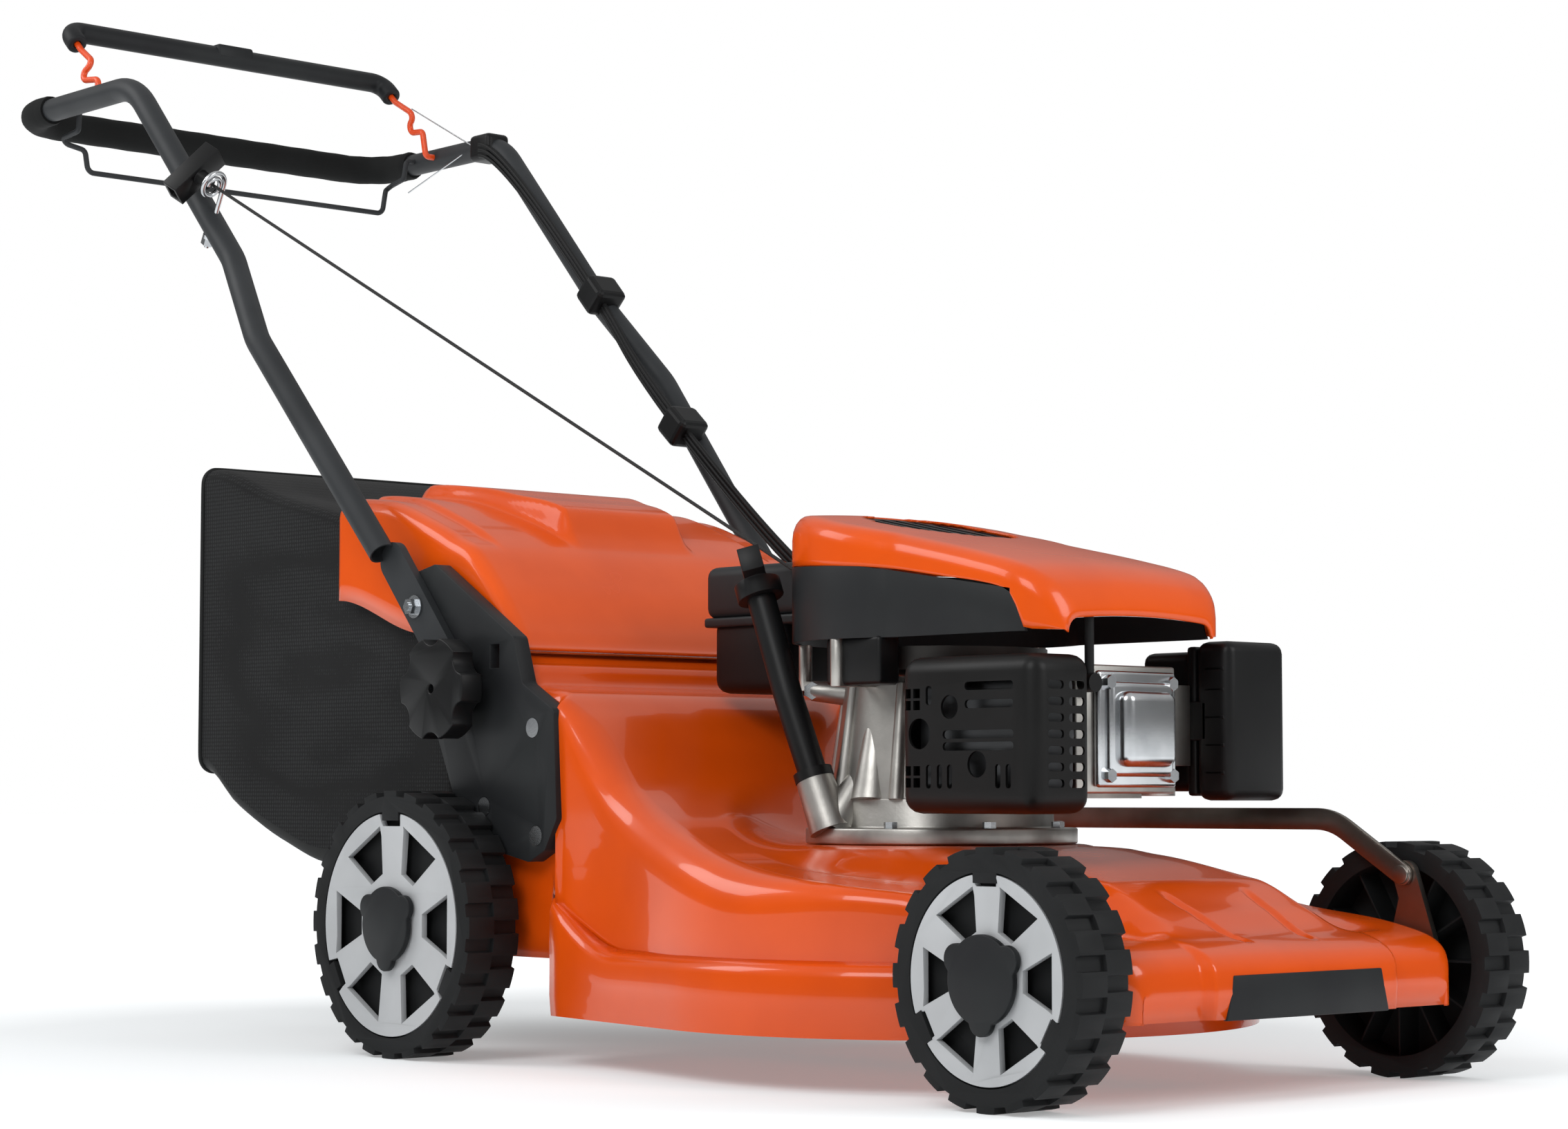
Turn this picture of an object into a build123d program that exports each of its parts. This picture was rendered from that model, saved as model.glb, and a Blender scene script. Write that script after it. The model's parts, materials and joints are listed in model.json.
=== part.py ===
from build123d import *

import os
from math import atan2, cos, degrees, hypot, pi, radians, sin, sqrt, tan

# Walk-behind petrol mower with a rear grass bag. Millimetres, +X forward, +Y to the
# operator's left, +Z up. Places are measured from the ground under the front axle, and
# the whole mower is shifted at the end so that the origin is the middle of its base.

# Clearances
RUN_FIT = 0.05
SEAT_GAP = 0.3
SLOT_FIT = 0.5
OPEN_FIT = 1

# Wheels
WHEELBASE = 756
FRONT_TYRE_R = 101.5
REAR_TYRE_R = 123.5
FRONT_HALF_TRACK = 284
REAR_HALF_TRACK = 300
TYRE_WIDTH = 56
TREAD_DEPTH = 5
TYRE_WALL = 14
FRONT_LUGS = 20
REAR_LUGS = 24
LUG_SHARE = 0.6
HUB_R = 18
HUB_INSET = 4
WEB_THICK = 6
WEB_DEPTH = 10
RIB_COUNT = 12
RIB_THICK = 2
RIB_HEIGHT = 26
COVER_GAP = 1.5
COVER_THICK = 6
NOTCH_WIDTH = 26
NOTCH_DEPTH = 9
SPOKE_COUNT = 6
SPOKE_WIDTH = 22
WINDOW_RIM = 17
CAP_HEIGHT = 6
CAP_R = 35
CAP_LOBE_R = 12
CAP_LOBE_PITCH = 31

# Axles and height link
AXLE_R = 6
CRANK_REACH = 42
CRANK_RISE = 10.5
ARM_THICK = 6
ARM_BOSS_R = 12
FRONT_ARM_Y = 212
REAR_ARM_Y = 227
LINK_BACK = 21
LINK_UP = 63
LINK_HEIGHT = 19
LINK_THICK = 4
LINK_RUN_Z = 222
LINK_BEND = 60
LINK_DROP = 75
RIVET_R = 5
RIVET_HEAD_R = 8
RIVET_HEAD = 2.5
LEVER_X = -440
LEVER_TOP = 330
LEVER_WIDTH = 20
LEVER_GRIP_R = 11
LEVER_GRIP_LENGTH = 60

# Deck
WALL = 2.5
CRANK_X = -327
SKIRT_R = 280
SKIRT_Z = 45
LEDGE_Z = 108
LEDGE = 12
SKIRT_REAR_X = -600
SKIRT_REAR_HALF = 232
REAR_HALF = 218
REAR_X = -760
REAR_BOTTOM = 95
REAR_TOP = 362
STEP_X = -645
STEP_Z = 345
SHOULDER_X = -575
SHOULDER_Z = 318
NOSE_X = 90
NOSE_HALF = 206
NOSE_BOTTOM = 67
NOSE_TOP_X = 60
NOSE_TOP_Z = 128
NOSE_EDGE_Z = 97
NOSE_CORNER = 22
SWEEP_POINTS = ((-505, 250), (-418, 213), (-305, 181), (-156, 162), (-20, 143))
LEDGE_RISE = ((-600, 160), (-550, 160), (-495, 134), (-440, 108))
SUMP_Z = 200
PLATEAU_R = 127
PLATEAU_FOOT_R = 200
PLATEAU_FOOT = 38
HOLLOW_RING = ((165, 222), (200, 270))
FRONT_HUMP = ((-215, 172, 196), (-150, 161, 192), (-46, 145, 173), (4, 137, 150), (48, 129, 130))
FRONT_HUMP_HALF = 94
FRONT_HUMP_FOOT = 130
PTO_HOLE_R = 45
CHUTE_HALF = 165
CHUTE_BOTTOM = 165
CHUTE_TOP = 330
CHANNEL_Y = 203
CHANNEL_FRONT = -320
CHANNEL_BACK_Z = 118
CHANNEL_FRONT_Z = 186
CHANNEL_TOP = 245
CHANNEL_STEP_X = -655
INSERT_TOP_HALF = 92
INSERT_BOTTOM_HALF = 101
INSERT_TOP = 102
INSERT_THICK = 5

# Handle brackets
BRACKET_THICK = 17
BRACKET_CORNER = 7
BRACKET_OUTLINE = (
    (-812, 452), (-768, 461), (-647, 388), (-633, 345), (-587, 320), (-582, 221),
    (-599, 193), (-622, 182), (-668, 191), (-736, 241), (-768, 309), (-803, 415),
)
SQUARE_HOLE = (-682, -668, 360, 382)
SCREW_SPOTS = ((-618, 304), (-612, 206), (-690, 232))
LEFT_SCREW_SPOTS = ((-618, 304), (-690, 290))
SCREW_R = 4
SCREW_HEAD_R = 9
SCREW_HEAD = 4
SCREW_LENGTH = 24

# Rear flap and bag
HINGE_X = -660
HINGE_Z = 377
HINGE_R = 3
HINGE_BITE = 5
LIP_R = 7
FLAP_HALF = 215
FLAP_WALL = 2.5
FLAP_PROFILE = ((-709, 442), (-753, 482), (-823, 515), (-890, 536), (-948, 541))
SKIRT_FLAP = ((-958, 435), (-835, 400))
HUMP_HALF = 104
HUMP_TOP_HALF = 88
HUMP_TOP = ((-945, 556), (-790, 520), (-752, 486))
BAG_HALF = 205
BAG_WALL = 3
BAG_PROFILE = ((-1160, 229), (-1225, 267), (-1222, 588), (-976, 524), (-900, 500))
BAG_FLOOR = ((-800, 168), (-995, 172))
BAG_MOUTH_TOP = 425
FRAME_DEPTH = 14
FRAME_BORDER = 12

# Handlebar
TUBE_R = 12.7
TUBE_WALL = 1.6
PIVOT_X = -788
PIVOT_Z = 421
STUD_REACH = 106
PLATE_WIDTH = 36
PLATE_THICK = 8
PLATE_RUN = 78
PLATE_TAIL = 22
PIVOT_R = 4
STUD_R = 4
NUT_R = 8
NUT_HEIGHT = 7
WASHER_R = 11
WASHER_THICK = 1.6
THREAD_END = 2
LOWER_BEND = (-1029, 266, 698)
UPPER_BEND = (-1110, 243, 791)
TOP_BEND = (-1303, 245.5, 1001)
GRIP_X = -1549
BEND_R = 70
CORNER_R = 52
FOAM_THICK = 4
FOAM_TAIL = 22
KNOB_R = 48
KNOB_THICK = 24
KNOB_LOBES = 6
KNOB_SCALLOP_R = 15
KNOB_BOSS_R = 24
KNOB_BOSS = 8
KNOB_GAP = 0.8

# Bails
STOP_PIVOT = (-1418, 1001)
DRIVE_PIVOT = (-1457, 1001)
BAIL_INNER = 222
PIN_BITE = 18
STOP_WIRE_R = 3.5
STOP_COVER_R = 11.5
STOP_BAR_X = -1498
STOP_BAR_Z = 1099
STOP_BAR_HALF = 214
DRIVE_WIRE_R = 3
DRIVE_BAR_X = -1475
DRIVE_BAR_Z = 937
DRIVE_BAR_HALF = 200

# Starter rope and its guide
GUIDE_WIRE_R = 2.5
GUIDE_LOOP_R = 8
GUIDE_GAP = 1.2
GUIDE_SHARE = 0.2
GUIDE_REACH = 44
GUIDE_TAIL = 27
GUIDE_NUT_R = 7
GUIDE_WASHER = 4
ROPE_R = 1.6
ROPE_EXIT = (-436, -50, 433)
ROPE_INSIDE = 6
OUTLET_REACH = 30
GRIP_LENGTH = 63
GRIP_WIDTH = 24
GRIP_DEPTH = 20
GRIP_WALL = 4
GRIP_STEM_R = 8
GRIP_STEM = 14
GRIP_TILT = 44
GRIP_STANDOFF = 4

# Control cables
CABLE_R = 2.6
CABLE_COUNT = 3
CABLE_SPACING = 6.5
CABLE_AHEAD = 8
CABLE_DROP = 12
CABLE_START = 30
CABLE_SIDE_Y = 226
CABLE_BOX_DEPTH = 12
CABLE_BOX_DROP = 8
ARC_SHARE = 0.45
CABLE_BOX = (-1352, -1292)
CLIP_SHARES = (0.42, 0.76)
CLIP_WIDTH = 22
CLIP_WALL = 2.5

# Engine
FLANGE_R = 121
FLANGE_THICK = 14
SUMP_R = 100
SUMP_TOP = 240
CASE_R = 84
CASE_TOP = 345
CASE_CAVITY_R = 62
CYLINDER_HALF = 52
CYLINDER_X = (-262, -135)
FIN_COUNT = 5
FIN_DEPTH = 9
POST_R = 6
POST_ARM = 8
HEAD_X = (-135, -103)
HEAD_Y = (-64, 60)
HEAD_Z = (244, 352)
COVER_X = -88
COVER_Y = (-44, 54)
COVER_Z = (249, 347)
COVER_CORNER = 12
COVER_PAD_INSET = 17
COVER_PAD = 18
COVER_FLANGE_DROP = 8
COVER_BOLT_R = 6
COVER_BOLT_INSET = 10
COVER_BOLT = 6
MUFFLER_X = (-226, -96)
MUFFLER_Y = (-124, -76)
MUFFLER_Z = (240, 346)
MUFFLER_CORNER = 14
EXHAUST_R = 14
GUARD_X = (-240, -80)
GUARD_Y = (-138, -66)
GUARD_Z = (227, 359)
GUARD_WALL = 2
GUARD_CORNER = 16
GUARD_SLOT = 7
GUARD_SLOT_PITCH = 14
GUARD_SLOT_START = 22
GUARD_ROWS = 7
GUARD_PLAIN = 60
GUARD_PEG_R = 5
SHROUD_R = 133
SHROUD_HALF = 119
SHROUD_Z = 378
COWL_BACK_Z = 448
COWL_FRONT_Z = 392
COWL_FRONT_X = -86
COWL_TOP_Z = 496
COWL_TOP_X = -395
COWL_BROW_X = -120
COWL_BROW_Z = 438
COWL_FRONT_HALF = 106
COWL_CHEEK = 40
COWL_CREST = 45
COWL_CREST_DIP = 14
COWL_WALL = 2.5
SPLIT_FOOT = 26
SPLIT_HEAD = 40
SPLIT_RISE = 22
SPLIT_KNEE = 30
SPLIT_DIP = 8
GRILLE_R = 70
GRILLE_THICK = 3
GRILLE_BARS = 7
GRILLE_SLOT_SHARE = 0.55
GRILLE_RIM = 8
FLYWHEEL_R = 95
FLYWHEEL_Z = (352, 372)
TANK_X = (-592, -478)
TANK_Y = (-52, 120)
TANK_Z = (338, 457)
TANK_CORNER = 18
TANK_WALL = 6
TANK_TAB_HALF = 26
TANK_TAB_Z = (392, 410)
TANK_CAP_R = 24
TANK_CAP = 18
TANK_CAP_SPOT = (-535, 70)
OIL_FOOT = (-354, -110, SUMP_Z + FLANGE_THICK)
OIL_KNEE = (-400, -118, 330)
OIL_TOP = (-436, -118, 418)
OIL_TUBE_R = 13
OIL_BEND = 200
OIL_CAP_R = 21
OIL_CAP_SKIRT = 16
OIL_CAP_BAR = (74, 20, 22)
OIL_CAP_FACING = (0.74, -0.67, 0)
CARB_X = (-175, -128)
CARB_Y = (60, 108)
CARB_Z = (268, 338)
BOWL = 26
BOWL_R = 20
FILTER_X = (-190, -84)
FILTER_Y = (108, 186)
FILTER_Z = (238, 376)
FILTER_CORNER = 14
LEAD_R = 4
BOOT_R = 8
BOOT_LENGTH = 14
BOOT_Y = -55
BOOT_Z = 336

# Shaft and blade
SHAFT_R = 12
SHAFT_BOTTOM = 66
SHAFT_WEB_R = 48
SHAFT_WEB = (262, 300)
ADAPTER_R = 24
ADAPTER_TOP = 92
BLADE_R = 262
BLADE_WIDTH = 54
BLADE_THICK = 4
BLADE_Z = 58
BLADE_BOLT_R = 13
BLADE_BOLT = 8

# Worked out from the sizes above
FRONT_PIVOT = (CRANK_REACH, FRONT_TYRE_R + CRANK_RISE)
REAR_PIVOT = (CRANK_REACH - WHEELBASE, REAR_TYRE_R + CRANK_RISE)
FRONT_RIVET = (FRONT_PIVOT[0] - LINK_BACK, FRONT_PIVOT[1] + LINK_UP)
REAR_RIVET = (REAR_PIVOT[0] - LINK_BACK, REAR_PIVOT[1] + LINK_UP)
LINK_Y = FRONT_ARM_Y - SEAT_GAP - LINK_THICK
BRACKET_IN = REAR_HALF + SEAT_GAP
BRACKET_OUT = BRACKET_IN + BRACKET_THICK
PLATE_IN = BRACKET_OUT + SEAT_GAP
PLATE_OUT = PLATE_IN + PLATE_THICK
TUBE_FOOT_Y = BRACKET_OUT + TUBE_R + 2
FOOT_RISE = LOWER_BEND[2] - PIVOT_Z
FOOT_RUN = LOWER_BEND[0] - PIVOT_X
FOOT_LENGTH = hypot(FOOT_RUN, FOOT_RISE)
FOOT_X = FOOT_RUN / FOOT_LENGTH
FOOT_Z = FOOT_RISE / FOOT_LENGTH
STUD_X = PIVOT_X - FOOT_X * STUD_REACH
STUD_Z = PIVOT_Z - FOOT_Z * STUD_REACH
CABLE_Y = UPPER_BEND[1] - TUBE_R - CABLE_R - SEAT_GAP


def middle(span):
    return (span[0] + span[1]) / 2


def box(x, y, z):
    size = Box(x[1] - x[0], y[1] - y[0], z[1] - z[0])
    return Pos(middle(x), middle(y), middle(z)) * size


def rod_x(x, y, z, radius):
    return Pos(middle(x), y, z) * Rot(0, 90, 0) * Cylinder(radius, x[1] - x[0])


def rod_y(x, y, z, radius):
    return Pos(x, middle(y), z) * Rot(90, 0, 0) * Cylinder(radius, y[1] - y[0])


def rod_z(x, y, z, radius):
    return Pos(x, y, middle(z)) * Cylinder(radius, z[1] - z[0])


def outline(corners, radius):
    if radius:
        return make_face(FilletPolyline(*corners, radius=radius, close=True).edges())
    return make_face(Polyline(*corners, close=True).edges())


def slab_x(points, x, radius=0):
    corners = [(x[0], py, pz) for py, pz in points]
    return extrude(outline(corners, radius), amount=x[1] - x[0], dir=(1, 0, 0))


def slab_y(points, y, radius=0):
    corners = [(px, y[0], pz) for px, pz in points]
    return extrude(outline(corners, radius), amount=y[1] - y[0], dir=(0, 1, 0))


def slab_z(points, z, radius=0):
    corners = [(px, py, z[0]) for px, py in points]
    return extrude(outline(corners, radius), amount=z[1] - z[0], dir=(0, 0, 1))


def rectangle(a, b):
    return ((a[0], b[0]), (a[1], b[0]), (a[1], b[1]), (a[0], b[1]))


def rod_along(points, bend, radius, bore=0):
    path = FilletPolyline(*points, radius=bend)
    section = Circle(radius)
    if bore:
        section = section - Circle(bore)
    return sweep(Plane(path @ 0, z_dir=path % 0) * section, path=path)


def arm(start, end, radius, y):
    run = end[0] - start[0]
    rise = end[1] - start[1]
    place = Pos((start[0] + end[0]) / 2, middle(y), (start[1] + end[1]) / 2)
    bar = place * Rot(0, -degrees(atan2(rise, run)), 0) * Box(hypot(run, rise), y[1] - y[0], 2 * radius)
    return bar + rod_y(start[0], y, start[1], radius) + rod_y(end[0], y, end[1], radius)


def right_of(shape):
    return mirror(shape, about=Plane.XZ)


def group(*shapes):
    return Compound([solid for shape in shapes for solid in shape.solids()])


def flip(span):
    return (-span[1], -span[0])


# Wheels, drawn with the axle along local Z, outer face at local zero
def tyre_row(tyre_r, lugs, low, high, phase):
    pitch = 2 * pi * tyre_r / lugs
    lug = Pos(tyre_r - TREAD_DEPTH, 0) * Rectangle(2 * TREAD_DEPTH, pitch * LUG_SHARE)
    row = Circle(tyre_r - TREAD_DEPTH)
    for index in range(lugs):
        row += Rot(0, 0, (index + phase) * 360 / lugs) * lug
    return extrude(Pos(0, 0, low) * (row & Circle(tyre_r)), amount=high - low)


def rim_radius(tyre_r):
    return tyre_r - TREAD_DEPTH - TYRE_WALL


def wheel_shape(tyre_r, lugs):
    outer = -CAP_HEIGHT
    inner = outer - TYRE_WIDTH
    half = outer - TYRE_WIDTH / 2
    rim_r = rim_radius(tyre_r)
    cover_back = -CAP_HEIGHT - COVER_THICK
    web_top = cover_back - WEB_DEPTH
    web_low = web_top - WEB_THICK
    body = tyre_row(tyre_r, lugs, half, outer, 0) + tyre_row(tyre_r, lugs, inner, half, 0.5)
    body -= rod_z(0, 0, (web_top, 1), rim_r)
    body -= rod_z(0, 0, (inner - 1, web_low), rim_r)
    hub = rod_z(0, 0, (inner + HUB_INSET, cover_back), HUB_R)
    rib = box((HUB_R - 1, rim_r + 1), (-RIB_THICK / 2, RIB_THICK / 2), (web_low - RIB_HEIGHT, web_low + 1))
    for index in range(RIB_COUNT):
        hub += Rot(0, 0, index * 360 / RIB_COUNT) * rib
    for index in range(3):
        tab = box(
            (rim_r - NOTCH_DEPTH + SEAT_GAP, rim_r + 1),
            (SEAT_GAP - NOTCH_WIDTH / 2, NOTCH_WIDTH / 2 - SEAT_GAP),
            (web_low, outer),
        )
        hub += Rot(0, 0, 30 + 120 * index) * tab
    return body + hub - rod_z(0, 0, (inner - 1, 1), AXLE_R + RUN_FIT)


def cover_shape(tyre_r):
    cover_r = rim_radius(tyre_r) - COVER_GAP
    notch = Pos(cover_r, 0) * Rectangle(2 * NOTCH_DEPTH, NOTCH_WIDTH)
    inner_r = CAP_R + CAP_LOBE_R
    outer_r = cover_r - WINDOW_RIM
    share = pi / SPOKE_COUNT
    inner_half = inner_r * share - SPOKE_WIDTH / 2
    outer_half = outer_r * share - SPOKE_WIDTH / 2
    corners = ((inner_r, -inner_half), (outer_r, -outer_half), (outer_r, outer_half), (inner_r, inner_half))
    window = outline([(px, py, 0) for px, py in corners], 2)
    face = Circle(cover_r)
    for index in range(3):
        face -= Rot(0, 0, 30 + 120 * index) * notch
    for index in range(SPOKE_COUNT):
        face -= Rot(0, 0, index * 360 / SPOKE_COUNT) * window
    return extrude(Pos(0, 0, -CAP_HEIGHT - COVER_THICK) * face, amount=COVER_THICK)


def cap_shape():
    face = Circle(CAP_R)
    for index in range(3):
        face += Rot(0, 0, 90 + 120 * index) * Pos(CAP_LOBE_PITCH, 0) * Circle(CAP_LOBE_R)
    return extrude(Pos(0, 0, -CAP_HEIGHT) * face, amount=CAP_HEIGHT)


def place_wheel(shape, tyre_r, half_track, axle_x):
    return Pos(axle_x, half_track, tyre_r) * Rot(-90, 0, 0) * shape


# Axles: a rod turning in the deck, an arm at each end, a stub for each wheel
def axle(pivot, tyre_r, half_track, arm_y, wheel_x):
    arm_span = (arm_y, arm_y + ARM_THICK)
    stub_end = half_track - CAP_HEIGHT - COVER_THICK - 1
    left = arm(pivot, (wheel_x, tyre_r), ARM_BOSS_R, arm_span)
    left += rod_y(wheel_x, (arm_y, stub_end), tyre_r, AXLE_R)
    cross = rod_y(pivot[0], (-arm_y, arm_y), pivot[1], AXLE_R)
    return cross + left + right_of(left)


def front_axle_shape():
    plate = (FRONT_ARM_Y, FRONT_ARM_Y + ARM_THICK)
    shape = axle(FRONT_PIVOT, FRONT_TYRE_R, FRONT_HALF_TRACK, FRONT_ARM_Y, 0)
    shape += arm(FRONT_PIVOT, FRONT_RIVET, ARM_BOSS_R, plate)
    shape += slab_y((FRONT_PIVOT, FRONT_RIVET, (0, FRONT_TYRE_R)), plate)
    return shape - rod_y(FRONT_RIVET[0], plate, FRONT_RIVET[1], RIVET_R + RUN_FIT)


def rear_axle_shape():
    plate = (FRONT_ARM_Y, FRONT_ARM_Y + ARM_THICK)
    shape = axle(REAR_PIVOT, REAR_TYRE_R, REAR_HALF_TRACK, REAR_ARM_Y, -WHEELBASE)
    shape += arm(REAR_PIVOT, REAR_RIVET, ARM_BOSS_R, plate)
    return shape - rod_y(REAR_RIVET[0], plate, REAR_RIVET[1], RIVET_R + OPEN_FIT)


def link_bar_shape():
    half = LINK_HEIGHT / 2
    bar_y = (LINK_Y, LINK_Y + LINK_THICK)
    route = (
        FRONT_RIVET + (LINK_Y,),
        (FRONT_RIVET[0] - LINK_DROP, LINK_RUN_Z, LINK_Y),
        (REAR_RIVET[0] + LINK_DROP, LINK_RUN_Z, LINK_Y),
        REAR_RIVET + (LINK_Y,),
    )
    path = FilletPolyline(*[(px, py, pz) for px, pz, py in route], radius=LINK_BEND)
    section = Plane(path @ 0, x_dir=(0, 1, 0), z_dir=path % 0) * Rectangle(LINK_THICK, LINK_HEIGHT)
    bar = Pos(0, LINK_THICK / 2, 0) * sweep(section, path=path)
    for spot in (FRONT_RIVET, REAR_RIVET):
        bar += rod_y(spot[0], bar_y, spot[1], half)
        bar += rod_y(spot[0], (LINK_Y - RIVET_HEAD, LINK_Y), spot[1], RIVET_HEAD_R)
        bar += rod_y(spot[0], (LINK_Y, FRONT_ARM_Y + ARM_THICK), spot[1], RIVET_R)
    return bar


def height_lever_shape():
    lever_y = (LINK_Y + LINK_THICK, LINK_Y + 2 * LINK_THICK)
    low = LINK_RUN_Z - LINK_HEIGHT / 2
    strip = box((LEVER_X - LEVER_WIDTH / 2, LEVER_X + LEVER_WIDTH / 2), lever_y, (low, LEVER_TOP))
    grip = rod_z(LEVER_X, middle(lever_y), (LEVER_TOP, LEVER_TOP + LEVER_GRIP_LENGTH), LEVER_GRIP_R)
    return strip + grip


# Deck: one block for the outside, the same block drawn in by the wall for the hollow
def deck_profile(inset):
    shoulder = (SHOULDER_X, SHOULDER_Z)
    curve = Spline(*[(px, 0, pz) for px, pz in (shoulder,) + SWEEP_POINTS + ((NOSE_TOP_X, NOSE_TOP_Z),)])
    rest = Polyline(
        (NOSE_TOP_X, 0, NOSE_TOP_Z),
        (NOSE_X, 0, NOSE_EDGE_Z),
        (NOSE_X, 0, 0),
        (REAR_X, 0, 0),
        (REAR_X, 0, REAR_TOP),
        (STEP_X, 0, REAR_TOP),
        (STEP_X, 0, STEP_Z),
        (SHOULDER_X, 0, SHOULDER_Z),
    )
    face = make_face(curve.edges() + rest.edges())
    return Pos(0, 0, -inset) * extrude(face, amount=SKIRT_R, dir=(0, 1, 0), both=True)


def deck_channel(grow):
    back = box(
        (REAR_X - 1, CHANNEL_STEP_X + grow),
        (CHANNEL_Y - grow, SKIRT_R + 1),
        (CHANNEL_BACK_Z - grow, CHANNEL_TOP + grow),
    )
    front = box(
        (CHANNEL_STEP_X - 1, CHANNEL_FRONT + grow),
        (CHANNEL_Y - grow, SKIRT_R + 1),
        (CHANNEL_FRONT_Z - grow, CHANNEL_TOP + grow),
    )
    return back + front


# Raised front of the top, lofted through one trapezium for each station of FRONT_HUMP
def front_hump(inset):
    sections = []
    for station, foot_z, top_z in FRONT_HUMP:
        corners = [
            (station, -FRONT_HUMP_FOOT + inset, foot_z - 3 * WALL),
            (station, -FRONT_HUMP_FOOT + inset, foot_z - inset),
            (station, -FRONT_HUMP_HALF + inset, top_z - inset),
            (station, FRONT_HUMP_HALF - inset, top_z - inset),
            (station, FRONT_HUMP_FOOT - inset, foot_z - inset),
            (station, FRONT_HUMP_FOOT - inset, foot_z - 3 * WALL),
        ]
        sections.append(make_face(Polyline(*corners, close=True)))
    return loft(sections, ruled=True)


# Flat seat of the engine: a cone falls away to the front, a bowl climbs to the rear
def plateau_cone(inset):
    top = SUMP_Z - inset
    cone = Cone(PLATEAU_FOOT_R - inset, PLATEAU_R - inset, PLATEAU_FOOT)
    return Pos(CRANK_X, 0, top - PLATEAU_FOOT / 2) * cone


def plateau_bowl(inset):
    low_r = PLATEAU_R + inset
    low_z = SUMP_Z - inset
    bowl = rod_z(CRANK_X, 0, (HOLLOW_RING[-1][1] - inset, REAR_TOP), HOLLOW_RING[-1][0] + inset)
    for ring_r, ring_z in HOLLOW_RING:
        high_z = ring_z - inset
        cone = Cone(low_r, ring_r + inset, high_z - low_z)
        bowl += Pos(CRANK_X, 0, (low_z + high_z) / 2) * cone
        low_r = ring_r + inset
        low_z = high_z
    return bowl


def deck_block(inset):
    drop = 10 if inset else 0
    skirt_r = SKIRT_R - inset
    upper_r = skirt_r - LEDGE
    rear_half = REAR_HALF - inset
    skirt_half = SKIRT_REAR_HALF - inset
    low = SKIRT_Z - drop
    skirt_rear = SKIRT_REAR_X + inset
    wide = ((skirt_rear, -skirt_half), (CRANK_X, -skirt_r), (CRANK_X, skirt_r), (skirt_rear, skirt_half))
    skirt = rod_z(CRANK_X, 0, (low, LEDGE_Z - inset), skirt_r)
    skirt += slab_z(wide, (low, LEDGE_Z - inset))
    rise = [(px, pz - inset) for px, pz in LEDGE_RISE]
    rise += [(LEDGE_RISE[-1][0], low), (LEDGE_RISE[0][0], low)]
    skirt += slab_z(wide, (low, STEP_Z)) & slab_y(rise, (-SKIRT_R, SKIRT_R))
    neck = ((SHOULDER_X, -rear_half), (CRANK_X, -upper_r), (CRANK_X, upper_r), (SHOULDER_X, rear_half))
    tall = rod_z(CRANK_X, 0, (low, REAR_TOP), upper_r) + slab_z(neck, (low, REAR_TOP))
    tall += box((REAR_X + inset, SHOULDER_X), (-rear_half, rear_half), (REAR_BOTTOM - drop, REAR_TOP))
    nose_half = NOSE_HALF - inset
    front = NOSE_X - inset
    nose = ((front, -nose_half), (front, nose_half), (CRANK_X, nose_half), (CRANK_X, -nose_half))
    tall += slab_z(nose, (NOSE_BOTTOM - drop, REAR_TOP))
    block = (tall & deck_profile(inset)) + skirt
    block += plateau_cone(inset) + front_hump(inset)
    return block - plateau_bowl(inset) - deck_channel(inset)


def insert_outline(grow):
    top = INSERT_TOP + grow
    return (
        (-INSERT_TOP_HALF - grow, top),
        (INSERT_TOP_HALF + grow, top),
        (INSERT_BOTTOM_HALF + grow, NOSE_BOTTOM),
        (-INSERT_BOTTOM_HALF - grow, NOSE_BOTTOM),
    )


def deck_shape():
    shell = deck_block(0) - deck_block(WALL)
    shell -= box((REAR_X - 1, REAR_X + 2 * WALL), (-CHUTE_HALF, CHUTE_HALF), (CHUTE_BOTTOM, CHUTE_TOP))
    shell -= rod_z(CRANK_X, 0, (SUMP_Z - 2 * WALL, SUMP_Z + 1), PTO_HOLE_R)
    for pivot in (FRONT_PIVOT, REAR_PIVOT):
        shell -= rod_y(pivot[0], (-SKIRT_R, SKIRT_R), pivot[1], AXLE_R + RUN_FIT)
    shell -= slab_x(insert_outline(SEAT_GAP), (NOSE_X - 2 * WALL, NOSE_X + 1))
    wall = (REAR_HALF - 2 * WALL, REAR_HALF + 1)
    for spot in SCREW_SPOTS:
        shell -= rod_y(spot[0], flip(wall), spot[1], SCREW_R)
    for spot in LEFT_SCREW_SPOTS:
        shell -= rod_y(spot[0], wall, spot[1], SCREW_R)
    return shell


def insert_shape():
    return slab_x(insert_outline(0), (NOSE_X - INSERT_THICK, NOSE_X))


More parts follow.
